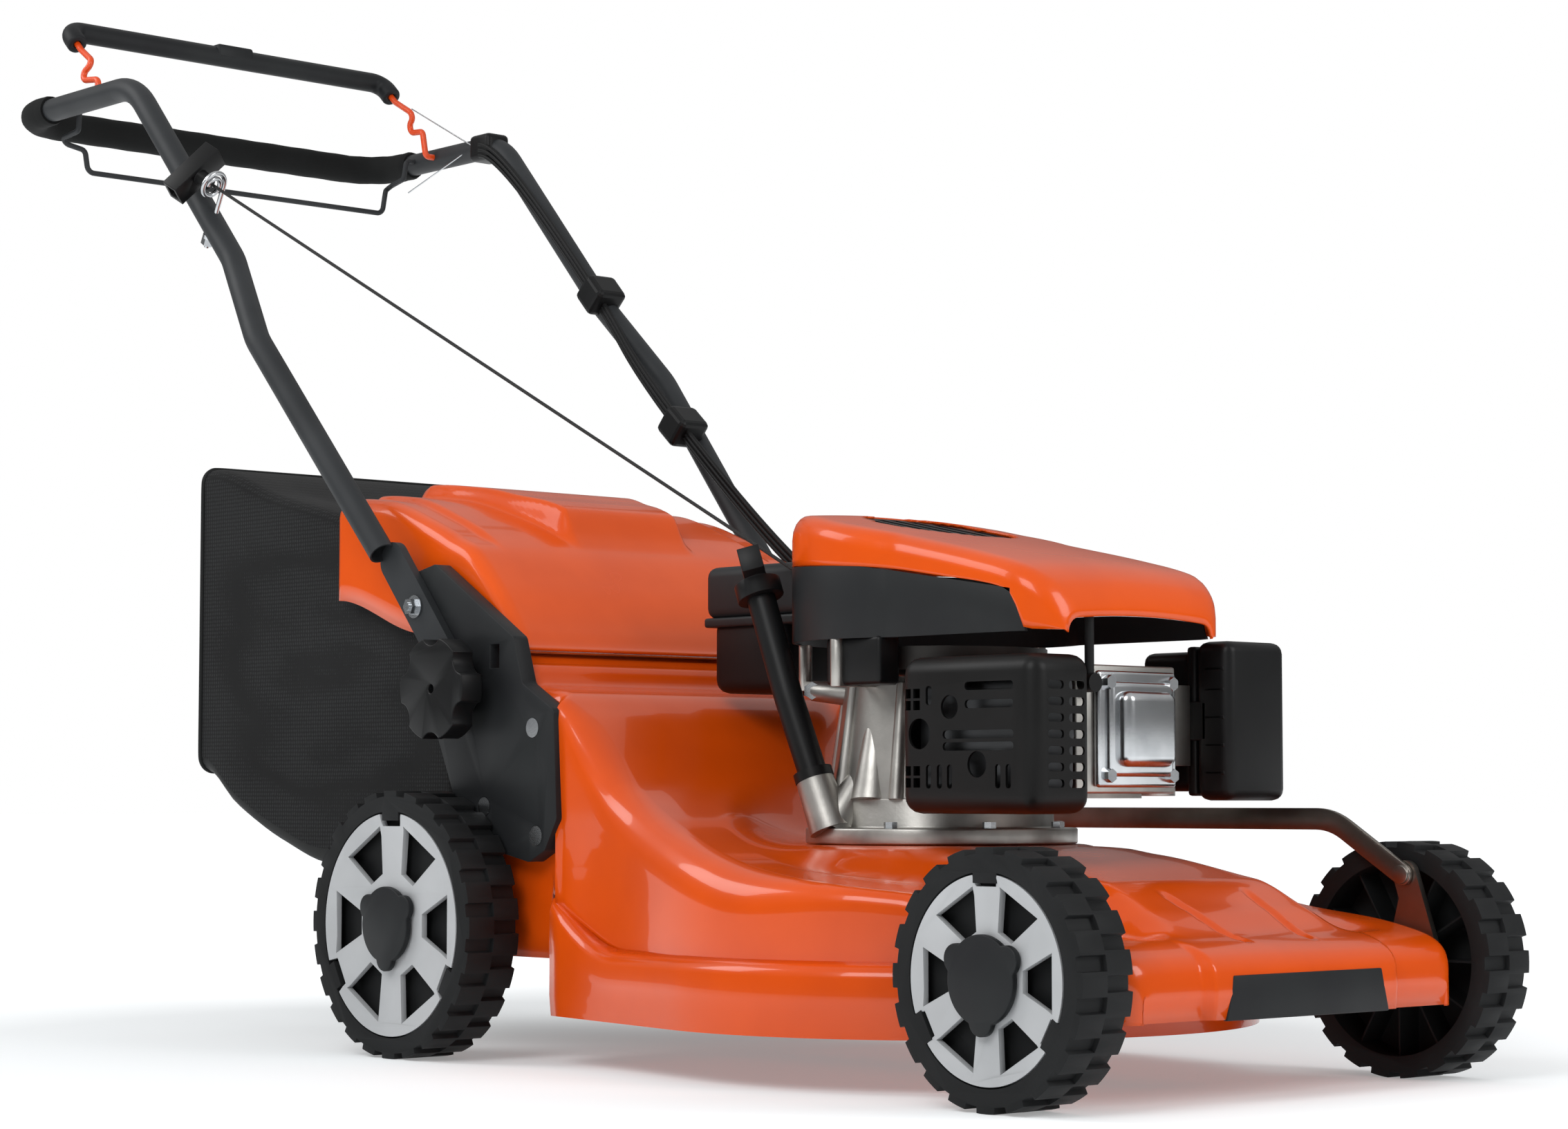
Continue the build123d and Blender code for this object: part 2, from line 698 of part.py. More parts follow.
# Handle brackets and the parts on them
def bracket_shape(spots):
    body_y = (BRACKET_IN, BRACKET_OUT)
    head_seat = BRACKET_OUT - SCREW_HEAD
    body = slab_y(BRACKET_OUTLINE, body_y, BRACKET_CORNER)
    body -= box(SQUARE_HOLE[:2], (BRACKET_IN - 1, BRACKET_OUT + 1), SQUARE_HOLE[2:])
    for spot in spots:
        body -= rod_y(spot[0], body_y, spot[1], SCREW_R)
        body -= rod_y(spot[0], (head_seat, BRACKET_OUT), spot[1], SCREW_HEAD_R + SEAT_GAP)
    body -= rod_y(STUD_X, body_y, STUD_Z, STUD_R)
    body -= rod_y(STUD_X, (BRACKET_IN, BRACKET_IN + SCREW_HEAD), STUD_Z, SCREW_HEAD_R)
    body -= rod_y(PIVOT_X, body_y, PIVOT_Z, PIVOT_R)
    body -= rod_y(PIVOT_X, (BRACKET_IN, BRACKET_IN + SCREW_HEAD), PIVOT_Z, SCREW_HEAD_R)
    return body - rod_y(HINGE_X, (BRACKET_IN, BRACKET_IN + HINGE_BITE), HINGE_Z, HINGE_R)


def bracket_screws(spots):
    head = (BRACKET_OUT - SCREW_HEAD, BRACKET_OUT)
    shank = (BRACKET_OUT - SCREW_LENGTH, BRACKET_OUT - SCREW_HEAD)
    screws = []
    for spot in spots:
        screws.append(rod_y(spot[0], head, spot[1], SCREW_HEAD_R) + rod_y(spot[0], shank, spot[1], SCREW_R))
    return screws


def stud_shape():
    head = rod_y(STUD_X, (BRACKET_IN, BRACKET_IN + SCREW_HEAD), STUD_Z, SCREW_HEAD_R)
    return head + rod_y(STUD_X, (BRACKET_IN, PLATE_OUT + KNOB_THICK), STUD_Z, STUD_R)


def pivot_bolt_shape():
    washer = (PLATE_OUT + SEAT_GAP, PLATE_OUT + SEAT_GAP + WASHER_THICK)
    bolt = rod_y(PIVOT_X, (BRACKET_IN, BRACKET_IN + SCREW_HEAD), PIVOT_Z, SCREW_HEAD_R)
    bolt += rod_y(PIVOT_X, (BRACKET_IN, washer[1] + NUT_HEIGHT + THREAD_END), PIVOT_Z, PIVOT_R)
    bolt += rod_y(PIVOT_X, washer, PIVOT_Z, WASHER_R)
    nut = Rot(-90, 0, 0) * extrude(RegularPolygon(NUT_R, 6), amount=NUT_HEIGHT)
    return bolt + Pos(PIVOT_X, washer[1], PIVOT_Z) * nut


def knob_shape():
    back = PLATE_OUT + KNOB_GAP
    front = back + KNOB_THICK + KNOB_BOSS
    star = Circle(KNOB_R)
    for index in range(KNOB_LOBES):
        turn = Rot(0, 0, (index + 0.5) * 360 / KNOB_LOBES)
        star -= turn * Pos(KNOB_R + KNOB_SCALLOP_R / 2, 0) * Circle(KNOB_SCALLOP_R)
    body = extrude(star, amount=KNOB_THICK)
    body = Pos(0, 0, KNOB_BOSS) * body + Cylinder(KNOB_BOSS_R, 2 * KNOB_BOSS)
    body -= Pos(0, 0, -KNOB_BOSS) * Box(4 * KNOB_R, 4 * KNOB_R, 2 * KNOB_BOSS)
    body -= rod_z(0, 0, (-1, front), STUD_R + RUN_FIT)
    return Pos(STUD_X, back, STUD_Z) * Rot(-90, 0, 0) * body


# Rear flap
def flap_line(points, shift):
    return [(px, pz - shift) for px, pz in points]


def flap_shape():
    half = (-FLAP_HALF, FLAP_HALF)
    lip = rod_y(HINGE_X, half, HINGE_Z, LIP_R)
    top = [(HINGE_X, HINGE_Z + LIP_R)] + list(FLAP_PROFILE)
    low = flap_line(top, 2 * FLAP_WALL)
    low[0] = (HINGE_X - LIP_R, HINGE_Z)
    sheet = slab_y(top + low[::-1], half)
    skirt_points = [(HINGE_X, HINGE_Z)] + top + list(SKIRT_FLAP) + [(HINGE_X - 4 * LIP_R, HINGE_Z)]
    skirt = slab_y(skirt_points, (FLAP_HALF - FLAP_WALL, FLAP_HALF))
    body = lip + sheet + skirt + right_of(skirt)
    hump_low = flap_line(FLAP_PROFILE[1:4] + ((HUMP_TOP[0][0], FLAP_PROFILE[4][1]),), FLAP_WALL)
    hump_side = list(HUMP_TOP) + hump_low
    hump = slab_y(hump_side, (-HUMP_HALF, HUMP_HALF))
    hollow = slab_y(flap_line(hump_side, 2 * FLAP_WALL), (-HUMP_TOP_HALF, HUMP_TOP_HALF))
    body = body + hump - hollow
    return body - rod_y(HINGE_X, half, HINGE_Z, HINGE_R + RUN_FIT)


def hinge_rod_shape():
    end = BRACKET_IN + HINGE_BITE
    return rod_y(HINGE_X, (-end, end), HINGE_Z, HINGE_R)


# Grass bag: a hollow shell open at its mouth, with a stiff frame round the mouth
def bag_outline(inset):
    mouth = REAR_X - SEAT_GAP - FRAME_DEPTH - SEAT_GAP + (1 if inset else 0)
    low = BAG_FLOOR[0][1] + inset
    points = [(mouth, low), (BAG_FLOOR[1][0], BAG_FLOOR[1][1] + inset)]
    points += [(BAG_PROFILE[0][0] + inset, BAG_PROFILE[0][1] + inset)]
    points += [(BAG_PROFILE[1][0] + inset, BAG_PROFILE[1][1] + inset)]
    points += [(BAG_PROFILE[2][0] + inset, BAG_PROFILE[2][1] - inset)]
    points += [(px, pz - inset) for px, pz in BAG_PROFILE[3:]]
    return points + [(mouth, BAG_MOUTH_TOP - inset)]


def bag_shape():
    half = (-BAG_HALF, BAG_HALF)
    hollow = (BAG_WALL - BAG_HALF, BAG_HALF - BAG_WALL)
    return slab_y(bag_outline(0), half) - slab_y(bag_outline(BAG_WALL), hollow)


def bag_frame_shape():
    span = (REAR_X - SEAT_GAP - FRAME_DEPTH, REAR_X - SEAT_GAP)
    low = BAG_FLOOR[0][1]
    outer = box(span, (-BAG_HALF, BAG_HALF), (low, BAG_MOUTH_TOP))
    inner_half = BAG_HALF - FRAME_BORDER
    inner = (low + FRAME_BORDER, BAG_MOUTH_TOP - FRAME_BORDER)
    return outer - box((span[0] - 1, span[1] + 1), (-inner_half, inner_half), inner)


# Handlebar: a bent tube with a flat plate at each foot
def handle_side(y_sign):
    start = PLATE_RUN - PLATE_THICK
    foot = (PIVOT_X + FOOT_X * start, y_sign * TUBE_FOOT_Y, PIVOT_Z + FOOT_Z * start)
    bends = (LOWER_BEND, UPPER_BEND, TOP_BEND, (GRIP_X, TOP_BEND[1], TOP_BEND[2]))
    return [foot] + [(px, y_sign * py, pz) for px, py, pz in bends]


def foot_plate():
    ends = (-STUD_REACH - PLATE_TAIL, PLATE_RUN)
    plate_y = (PLATE_IN, PLATE_OUT)
    half = PLATE_WIDTH / 2
    corners = []
    for along, across in rectangle(ends, (-half, half)):
        px = PIVOT_X + FOOT_X * along - FOOT_Z * across
        pz = PIVOT_Z + FOOT_Z * along + FOOT_X * across
        corners.append((px, pz))
    plate = slab_y(corners, plate_y, half - 1)
    plate -= rod_y(PIVOT_X, plate_y, PIVOT_Z, PIVOT_R + RUN_FIT)
    ring = rod_y(PIVOT_X, plate_y, PIVOT_Z, STUD_REACH + STUD_R + SLOT_FIT)
    ring -= rod_y(PIVOT_X, plate_y, PIVOT_Z, STUD_REACH - STUD_R - SLOT_FIT)
    reach = STUD_REACH + 4 * STUD_R
    wide = [(PIVOT_X, PIVOT_Z), (PIVOT_X - FOOT_X * reach, PIVOT_Z - FOOT_Z * reach)]
    wide.append((wide[1][0] + FOOT_Z * PLATE_WIDTH, wide[1][1] - FOOT_X * PLATE_WIDTH))
    wide.append((PIVOT_X + FOOT_Z * PLATE_WIDTH, PIVOT_Z - FOOT_X * PLATE_WIDTH))
    slot = ring & slab_y(wide, plate_y)
    return plate - slot - rod_y(STUD_X, plate_y, STUD_Z, STUD_R + SLOT_FIT)


def tube_shape(radius, bore=0):
    points = handle_side(-1) + handle_side(1)[::-1]
    bends = (BEND_R, BEND_R, BEND_R, CORNER_R, CORNER_R, BEND_R, BEND_R, BEND_R)
    return rod_along(points, bends, radius, bore)


def handlebar_shape():
    tube = tube_shape(TUBE_R, TUBE_R - TUBE_WALL)
    plate = foot_plate()
    left = (BAIL_INNER, TOP_BEND[1])
    for spot, radius in ((STOP_PIVOT, STOP_WIRE_R), (DRIVE_PIVOT, DRIVE_WIRE_R)):
        hole = rod_y(spot[0], left, spot[1], radius + RUN_FIT)
        tube -= hole
        tube -= right_of(hole)
    return tube + plate + right_of(plate) - guide_hole()


def foam_shape():
    tail = GRIP_X + CORNER_R + FOAM_TAIL
    side_y = TOP_BEND[1]
    top = TOP_BEND[2]
    points = ((tail, -side_y, top), (GRIP_X, -side_y, top), (GRIP_X, side_y, top), (tail, side_y, top))
    return rod_along(points, CORNER_R, TUBE_R + FOAM_THICK, TUBE_R + SEAT_GAP)


# Bails: each end has a pin in the tube, then a cranked wire, then the bar
def stop_bail_route():
    px, pz = STOP_PIVOT
    tip = BAIL_INNER + PIN_BITE
    return (
        (px, tip, pz),
        (px, BAIL_INNER, pz),
        (px - 4, BAIL_INNER - 2, pz + 30),
        (px - 44, BAIL_INNER + 2, pz + 34),
        (px - 18, BAIL_INNER - 4, pz + 52),
        (px - 52, STOP_BAR_HALF, pz + 72),
        (STOP_BAR_X, STOP_BAR_HALF, STOP_BAR_Z),
    )


def stop_bail_wire_shape():
    side = list(stop_bail_route())
    side[-1] = (STOP_BAR_X, STOP_BAR_HALF, STOP_BAR_Z)
    points = [(px, -py, pz) for px, py, pz in side] + side[::-1]
    bends = (5, 6, 7, 7, 12, 16, 16, 12, 7, 7, 6, 5)
    return rod_along(points, bends, STOP_WIRE_R)


def stop_bail_cover_shape():
    low = stop_bail_route()[-2]
    reach = 0.25
    start = (
        low[0] + (STOP_BAR_X - low[0]) * reach,
        STOP_BAR_HALF,
        low[2] + (STOP_BAR_Z - low[2]) * reach,
    )
    corner = (STOP_BAR_X, STOP_BAR_HALF, STOP_BAR_Z)
    side = [(start[0], -start[1], start[2]), (corner[0], -corner[1], corner[2])]
    return rod_along(side + [corner, start], 16, STOP_COVER_R, STOP_WIRE_R + SEAT_GAP)


def drive_bail_shape():
    px, pz = DRIVE_PIVOT
    tip = BAIL_INNER + PIN_BITE
    low = TOP_BEND[2] - TUBE_R - 3 * DRIVE_WIRE_R
    side = [
        (px, tip, pz),
        (px, BAIL_INNER, pz),
        (px - 4, BAIL_INNER - 1, low),
        (px - 44, BAIL_INNER + 2, low - 6),
        (DRIVE_BAR_X, DRIVE_BAR_HALF + 4, low - 18),
        (DRIVE_BAR_X, DRIVE_BAR_HALF, DRIVE_BAR_Z),
    ]
    points = [(qx, -qy, qz) for qx, qy, qz in side] + side[::-1]
    bends = (5, 5, 6, 8, 9, 9, 8, 6, 5, 5)
    return rod_along(points, bends, DRIVE_WIRE_R)


# Starter rope, its guide on the right bar and its grip
def bar_point(share, sign):
    low = Vector(UPPER_BEND[0], sign * UPPER_BEND[1], UPPER_BEND[2])
    high = Vector(TOP_BEND[0], sign * TOP_BEND[1], TOP_BEND[2])
    return low + (high - low) * share


def guide_axes():
    bar = (bar_point(1, -1) - bar_point(0, -1)).normalized()
    ahead = bar.cross(Vector(0, 1, 0)).normalized() * -1
    foot = bar_point(GUIDE_SHARE, -1)
    aim = foot + ahead * GUIDE_REACH
    along = (aim - Vector(*ROPE_EXIT)).normalized()
    stem = (ahead - along * ahead.dot(along)).normalized()
    side = along.cross(stem).normalized()
    return foot, bar, stem, side


GUIDE_FOOT, GUIDE_BAR, GUIDE_STEM, GUIDE_SIDE = guide_axes()
GUIDE_STEP = 2 * GUIDE_WIRE_R + GUIDE_GAP
GUIDE_OUTER_R = GUIDE_LOOP_R + GUIDE_STEP
GUIDE_CENTRE = GUIDE_FOOT + GUIDE_STEM * GUIDE_REACH - GUIDE_SIDE * GUIDE_OUTER_R


def guide_spot(ahead, aside):
    return GUIDE_CENTRE + GUIDE_STEM * ahead - GUIDE_SIDE * aside


def rope_guide_shape():
    half = GUIDE_STEP / 2
    inner = GUIDE_LOOP_R
    middle_r = inner + half
    outer = GUIDE_OUTER_R
    first = ThreePointArc(guide_spot(0, inner), guide_spot(inner, 0), guide_spot(0, -inner))
    second = ThreePointArc(guide_spot(0, -inner), guide_spot(-middle_r, half), guide_spot(0, outer))
    third = ThreePointArc(guide_spot(0, outer), guide_spot(outer, 0), guide_spot(0, -outer))
    foot = guide_spot(0, -outer) - GUIDE_STEM * (GUIDE_REACH + GUIDE_TAIL)
    run = Line(guide_spot(0, -outer), foot)
    path = Wire(first.edges() + second.edges() + third.edges() + run.edges())
    start = Plane(path @ 0, z_dir=path % 0)
    return sweep(start * Circle(GUIDE_WIRE_R), path=path)


def guide_self_gap():
    points = []
    half = GUIDE_STEP / 2
    arcs = ((GUIDE_LOOP_R, 0), (GUIDE_LOOP_R + half, half), (GUIDE_OUTER_R, 0))
    for turn, (radius, shift) in enumerate(arcs):
        for step in range(60):
            angle = pi / 2 - pi * (turn + step / 60)
            points.append((turn * 60 + step, radius * cos(angle), shift + radius * sin(angle)))
    gaps = [
        hypot(a[1] - b[1], a[2] - b[2]) - 2 * GUIDE_WIRE_R
        for a in points
        for b in points
        if b[0] - a[0] > 60
    ]
    return min(gaps)


def guide_hole():
    start = Plane(GUIDE_FOOT - GUIDE_STEM * GUIDE_TAIL, z_dir=GUIDE_STEM)
    return extrude(start * Circle(GUIDE_WIRE_R + RUN_FIT), amount=2 * GUIDE_TAIL)


def guide_nut_shape():
    seat = Plane(GUIDE_FOOT - GUIDE_STEM * TUBE_R, z_dir=GUIDE_STEM * -1)
    washer = extrude(seat * Circle(GUIDE_NUT_R), amount=GUIDE_WASHER)
    face = Plane(GUIDE_FOOT - GUIDE_STEM * (TUBE_R + GUIDE_WASHER), z_dir=GUIDE_STEM * -1)
    nut = extrude(face * RegularPolygon(GUIDE_NUT_R, 6), amount=NUT_HEIGHT)
    saddle = extrude(Plane(GUIDE_FOOT, z_dir=GUIDE_BAR) * Circle(TUBE_R + RUN_FIT), amount=TUBE_R, both=True)
    return washer + nut - saddle - guide_hole()


def pull_direction():
    return (GUIDE_CENTRE - Vector(*ROPE_EXIT)).normalized()


def rope_shape():
    pull = pull_direction()
    inside = Vector(*ROPE_EXIT) - pull * ROPE_INSIDE
    return extrude(Plane(inside, z_dir=pull) * Circle(ROPE_R), amount=(GUIDE_CENTRE - inside).length)


def rope_tail_shape():
    start = Plane(GUIDE_CENTRE, z_dir=pull_direction())
    return extrude(start * Circle(ROPE_R), amount=GUIDE_WIRE_R + GRIP_STANDOFF)


def starter_grip_shape():
    pull = pull_direction()
    base = GUIDE_CENTRE + pull * (GUIDE_WIRE_R + GRIP_STANDOFF)
    stem = extrude(Plane(base, z_dir=pull) * Circle(GRIP_STEM_R), amount=GRIP_STEM + GRIP_WALL)
    tilt = radians(GRIP_TILT)
    across = GUIDE_SIDE * cos(tilt) + GUIDE_STEM * sin(tilt)
    across = (across - pull * across.dot(pull)).normalized()
    frame = Plane(base + pull * (GRIP_STEM + GRIP_DEPTH / 2), x_dir=across, z_dir=pull)
    bar = frame * Box(GRIP_LENGTH, GRIP_WIDTH, GRIP_DEPTH)
    hollow = frame * Box(GRIP_LENGTH + 2, GRIP_WIDTH - 2 * GRIP_WALL, GRIP_DEPTH - 2 * GRIP_WALL)
    return stem + bar - hollow


# Control cables down the inside of the left bar, with their box and clips
def cable_points(index):
    rise = CABLE_SPACING * index
    high = bar_point(1, 1)
    low = bar_point(0, 1)
    over_bracket = (-780, CABLE_SIDE_Y, 476 + rise)
    by_hinge = (-652, CABLE_SIDE_Y, 404 + rise)
    route = [
        (CABLE_BOX[0] + CABLE_START, CABLE_Y, TOP_BEND[2] - CABLE_DROP + rise),
        (high.X + CABLE_AHEAD, CABLE_Y, high.Z - CABLE_DROP + rise),
        (low.X + CABLE_AHEAD, CABLE_Y, low.Z + rise),
        (LOWER_BEND[0] + CABLE_AHEAD, CABLE_Y, LOWER_BEND[2] - CABLE_DROP + rise),
        over_bracket,
        by_hinge,
    ]
    if index == 0:
        return route + [(-600, 176, 372), (-572, 160, 318)]
    return route + [(-560, 168, 386 + rise), (-482, 132, 398 + rise), (-444, 72, 404 + rise)]


def cable_tube(index, radius):
    points = cable_points(index)
    return rod_along(points, corner_radii(points), radius)


def corner_radii(points):
    radii = []
    for before, corner, after in zip(points, points[1:], points[2:]):
        arrive = Vector(*corner) - Vector(*before)
        leave = Vector(*after) - Vector(*corner)
        turn = radians(arrive.get_angle(leave))
        radii.append(ARC_SHARE * min(arrive.length, leave.length) / tan(turn / 2))
    return radii


def cable_shape():
    return group(*[cable_tube(index, CABLE_R) for index in range(CABLE_COUNT)])


def cut_cables(shape):
    for index in range(CABLE_COUNT):
        shape -= cable_tube(index, CABLE_R + RUN_FIT)
    return shape


def cable_box_shape():
    body = box(
        CABLE_BOX,
        (TOP_BEND[1] - TUBE_R - CABLE_BOX_DEPTH, TOP_BEND[1] + TUBE_R + CLIP_WALL),
        (TOP_BEND[2] - TUBE_R - CABLE_BOX_DROP, TOP_BEND[2] + TUBE_R + CLIP_WALL),
    )
    return cut_cables(body - tube_shape(TUBE_R + RUN_FIT))


def cable_clip_shape(share):
    bar = (bar_point(1, 1) - bar_point(0, 1)).normalized()
    frame = Plane(bar_point(share, 1), x_dir=(0, 1, 0), z_dir=bar)
    reach = TUBE_R + 2 * CABLE_R + CLIP_WALL
    band = Circle(TUBE_R + CLIP_WALL) + Pos(-reach / 2, 0) * Rectangle(reach, 2 * TUBE_R)
    ring = extrude(frame * band, amount=CLIP_WIDTH)
    return cut_cables(ring - tube_shape(TUBE_R + RUN_FIT))


# Engine
def cowl_plan(inset, z):
    half = SHROUD_HALF - inset
    front_half = COWL_FRONT_HALF - inset
    front = COWL_FRONT_X - inset
    disc = Pos(CRANK_X, 0, z) * Circle(SHROUD_R - inset)
    near_side = ((CRANK_X, -half, z), (front - COWL_CHEEK, -half, z), (front, -front_half, z))
    far_side = ((front, front_half, z), (front - COWL_CHEEK, half, z), (CRANK_X, half, z))
    corners = near_side + far_side
    return disc + make_face(Polyline(*corners, close=True).edges())


def cowl_side(lift):
    return (
        (CRANK_X - SHROUD_R - 1, COWL_BACK_Z + lift),
        (COWL_TOP_X - COWL_CREST, COWL_TOP_Z - COWL_CREST_DIP + lift),
        (COWL_TOP_X, COWL_TOP_Z + lift),
        (COWL_BROW_X, COWL_BROW_Z + lift),
        (COWL_FRONT_X + 1, COWL_FRONT_Z + lift),
    )


def shroud_split():
    back = CRANK_X - SHROUD_R - 1
    return (
        (back, SHROUD_Z - 1),
        (COWL_FRONT_X - SPLIT_FOOT, SHROUD_Z - 1),
        (COWL_FRONT_X - SPLIT_HEAD, COWL_FRONT_Z + SPLIT_RISE),
        (CRANK_X + SPLIT_KNEE, COWL_BACK_Z - SPLIT_DIP),
        (back, COWL_BACK_Z),
    )


def cowl_solid(inset):
    plan = cowl_plan(inset, SHROUD_Z - 1)
    column = extrude(plan, amount=COWL_TOP_Z - SHROUD_Z + 2, dir=(0, 0, 1))
    low = SHROUD_Z - 1 if inset else SHROUD_Z
    side = cowl_side(-inset) + ((COWL_FRONT_X + 1, low), (CRANK_X - SHROUD_R - 1, low))
    return column & slab_y(side, (-SHROUD_R - 1, SHROUD_R + 1))


def housing_shell():
    return cowl_solid(0) - cowl_solid(COWL_WALL)


def shroud_region():
    return slab_y(shroud_split(), (-SHROUD_R - 1, SHROUD_R + 1))


def grille_hole(radius):
    return rod_z(CRANK_X, 0, (SHROUD_Z, COWL_TOP_Z + 20), radius)


def shroud_shape():
    shell = housing_shell() & shroud_region()
    outlet = Plane(Vector(*ROPE_EXIT) - pull_direction() * OUTLET_REACH, z_dir=pull_direction())
    return shell - extrude(outlet * Circle(ROPE_R + OPEN_FIT), amount=2 * OUTLET_REACH)


def cowl_shape():
    shell = housing_shell() - shroud_region()
    return shell - grille_hole(GRILLE_R)


def grille_shape():
    disc = grille_hole(GRILLE_R - SEAT_GAP)
    low = cowl_solid(COWL_WALL + GRILLE_THICK)
    plate = (disc & cowl_solid(COWL_WALL)) - low
    pitch = 2 * GRILLE_R / GRILLE_BARS
    slot = pitch * GRILLE_SLOT_SHARE / 2
    for index in range(GRILLE_BARS):
        y = pitch * (index + 0.5) - GRILLE_R
        reach = sqrt((GRILLE_R - GRILLE_RIM) ** 2 - y ** 2)
        plate -= box((CRANK_X - reach, CRANK_X + reach), (y - slot, y + slot), (SHROUD_Z, COWL_TOP_Z))
    return plate


def sump_shape():
    flange_top = SUMP_Z + FLANGE_THICK
    body = rod_z(CRANK_X, 0, (SUMP_Z, flange_top), FLANGE_R)
    body += rod_z(CRANK_X, 0, (flange_top, SUMP_TOP), SUMP_R)
    body -= rod_z(CRANK_X, 0, (SUMP_Z - 1, SUMP_TOP + 1), SHAFT_R + RUN_FIT)
    return body


def crankcase_shape():
    body = rod_z(CRANK_X, 0, (SUMP_TOP, CASE_TOP), CASE_R)
    body += box(CYLINDER_X, (-CYLINDER_HALF, CYLINDER_HALF), (SUMP_TOP, CASE_TOP))
    run = (CYLINDER_X[1] - (CRANK_X + CASE_R)) / FIN_COUNT
    for index in range(FIN_COUNT):
        x = CYLINDER_X[1] - run * (index + 0.75)
        slot = box(
            (x, x + run / 2),
            (CYLINDER_HALF - FIN_DEPTH, CYLINDER_HALF + 1),
            (SUMP_TOP + FIN_DEPTH, CASE_TOP + 1),
        )
        body -= slot
        body -= right_of(slot)
    arm_z = (CASE_TOP - POST_ARM, CASE_TOP)
    post_x = SHROUD_R - POST_R
    for index in range(4):
        post = box((CASE_CAVITY_R + FIN_DEPTH, post_x), (-POST_R, POST_R), arm_z)
        post += rod_z(post_x, 0, (arm_z[0], SHROUD_Z), POST_R)
        body += Pos(CRANK_X, 0, 0) * Rot(0, 0, 90 + 60 * index) * post
    body -= rod_z(CRANK_X, 0, (SUMP_TOP - 1, CASE_TOP - 2 * FIN_DEPTH), CASE_CAVITY_R)
    return body - rod_z(CRANK_X, 0, (SUMP_TOP, CASE_TOP + 1), SHAFT_R + RUN_FIT)


def head_shape():
    body = box(HEAD_X, HEAD_Y, HEAD_Z)
    for index in range(FIN_COUNT - 1):
        z = HEAD_Z[0] + (HEAD_Z[1] - HEAD_Z[0]) * (index + 0.75) / (FIN_COUNT - 0.5)
        body -= box((HEAD_X[0] + 4, HEAD_X[1] - 8), (HEAD_Y[0] - 1, HEAD_Y[0] + FIN_DEPTH), (z, z + 9))
    return body


def valve_cover_shape():
    flange_x = (HEAD_X[1], COVER_X - COVER_FLANGE_DROP)
    body = slab_x(rectangle(COVER_Y, COVER_Z), flange_x, COVER_CORNER)
    inner_y = (COVER_Y[0] + COVER_PAD_INSET, COVER_Y[1] - COVER_PAD_INSET)
    inner_z = (COVER_Z[0] + COVER_PAD_INSET, COVER_Z[1] - COVER_PAD_INSET)
    body += slab_x(rectangle(inner_y, inner_z), (HEAD_X[1], COVER_X - COVER_FLANGE_DROP + COVER_PAD), COVER_CORNER)
    for y, z in cover_bolt_spots():
        body -= rod_x(flange_x, y, z, COVER_BOLT_R / 2)
    return body


def cover_bolt_spots():
    ys = (COVER_Y[0] + COVER_BOLT_INSET, COVER_Y[1] - COVER_BOLT_INSET)
    zs = (COVER_Z[0] + COVER_BOLT_INSET, COVER_Z[1] - COVER_BOLT_INSET)
    return [(y, z) for y in ys for z in zs]


def cover_bolts_shape():
    face = COVER_X - COVER_FLANGE_DROP
    bolts = []
    for y, z in cover_bolt_spots():
        hexagon = Rot(0, 90, 0) * extrude(RegularPolygon(COVER_BOLT_R, 6), amount=COVER_BOLT)
        bolts.append(Pos(face, y, z) * hexagon + rod_x((HEAD_X[1], face), y, z, COVER_BOLT_R / 2))
    return group(*bolts)


def muffler_shape():
    body = box(MUFFLER_X, MUFFLER_Y, MUFFLER_Z)
    body = fillet(body.edges().filter_by(Axis.X), MUFFLER_CORNER)
    pipe = rod_y(middle(HEAD_X), (MUFFLER_Y[1] - 1, HEAD_Y[0]), middle(MUFFLER_Z), EXHAUST_R)
    return body + pipe


def guard_shape():
    outer = slab_z(rectangle(GUARD_X, GUARD_Y), GUARD_Z, GUARD_CORNER)
    wall = GUARD_WALL
    inner_x = (GUARD_X[0] + wall, GUARD_X[1] - wall)
    inner_y = (GUARD_Y[0] + wall, GUARD_Y[1] + 1)
    inner_z = (GUARD_Z[0] + wall, GUARD_Z[1] - wall)
    body = outer - box(inner_x, inner_y, inner_z)
    for index in range(GUARD_ROWS):
        low = GUARD_Z[0] + GUARD_SLOT_START + index * GUARD_SLOT_PITCH
        slot_z = (low, low + GUARD_SLOT)
        front_y = (GUARD_Y[0] + GUARD_CORNER, GUARD_Y[1] - GUARD_CORNER)
        body -= box((GUARD_X[1] - 2 * wall, GUARD_X[1] + 1), front_y, slot_z)
        side_x = (GUARD_X[0] + GUARD_PLAIN, GUARD_X[1] - GUARD_CORNER)
        body -= box(side_x, (GUARD_Y[0] - 1, GUARD_Y[0] + 2 * wall), slot_z)
    for x in (GUARD_X[0] + GUARD_PLAIN / 2, GUARD_X[1] - 2 * GUARD_CORNER):
        body += rod_y(x, (GUARD_Y[0] + wall / 2, MUFFLER_Y[0]), middle(GUARD_Z) + GUARD_SLOT, GUARD_PEG_R)
    return body


def carburettor_shape():
    body = box(CARB_X, CARB_Y, CARB_Z)
    return body + rod_z(middle(CARB_X), middle(CARB_Y), (CARB_Z[0] - BOWL, CARB_Z[0]), BOWL_R)


def filter_shape():
    return slab_x(rectangle(FILTER_Y, FILTER_Z), FILTER_X, FILTER_CORNER)


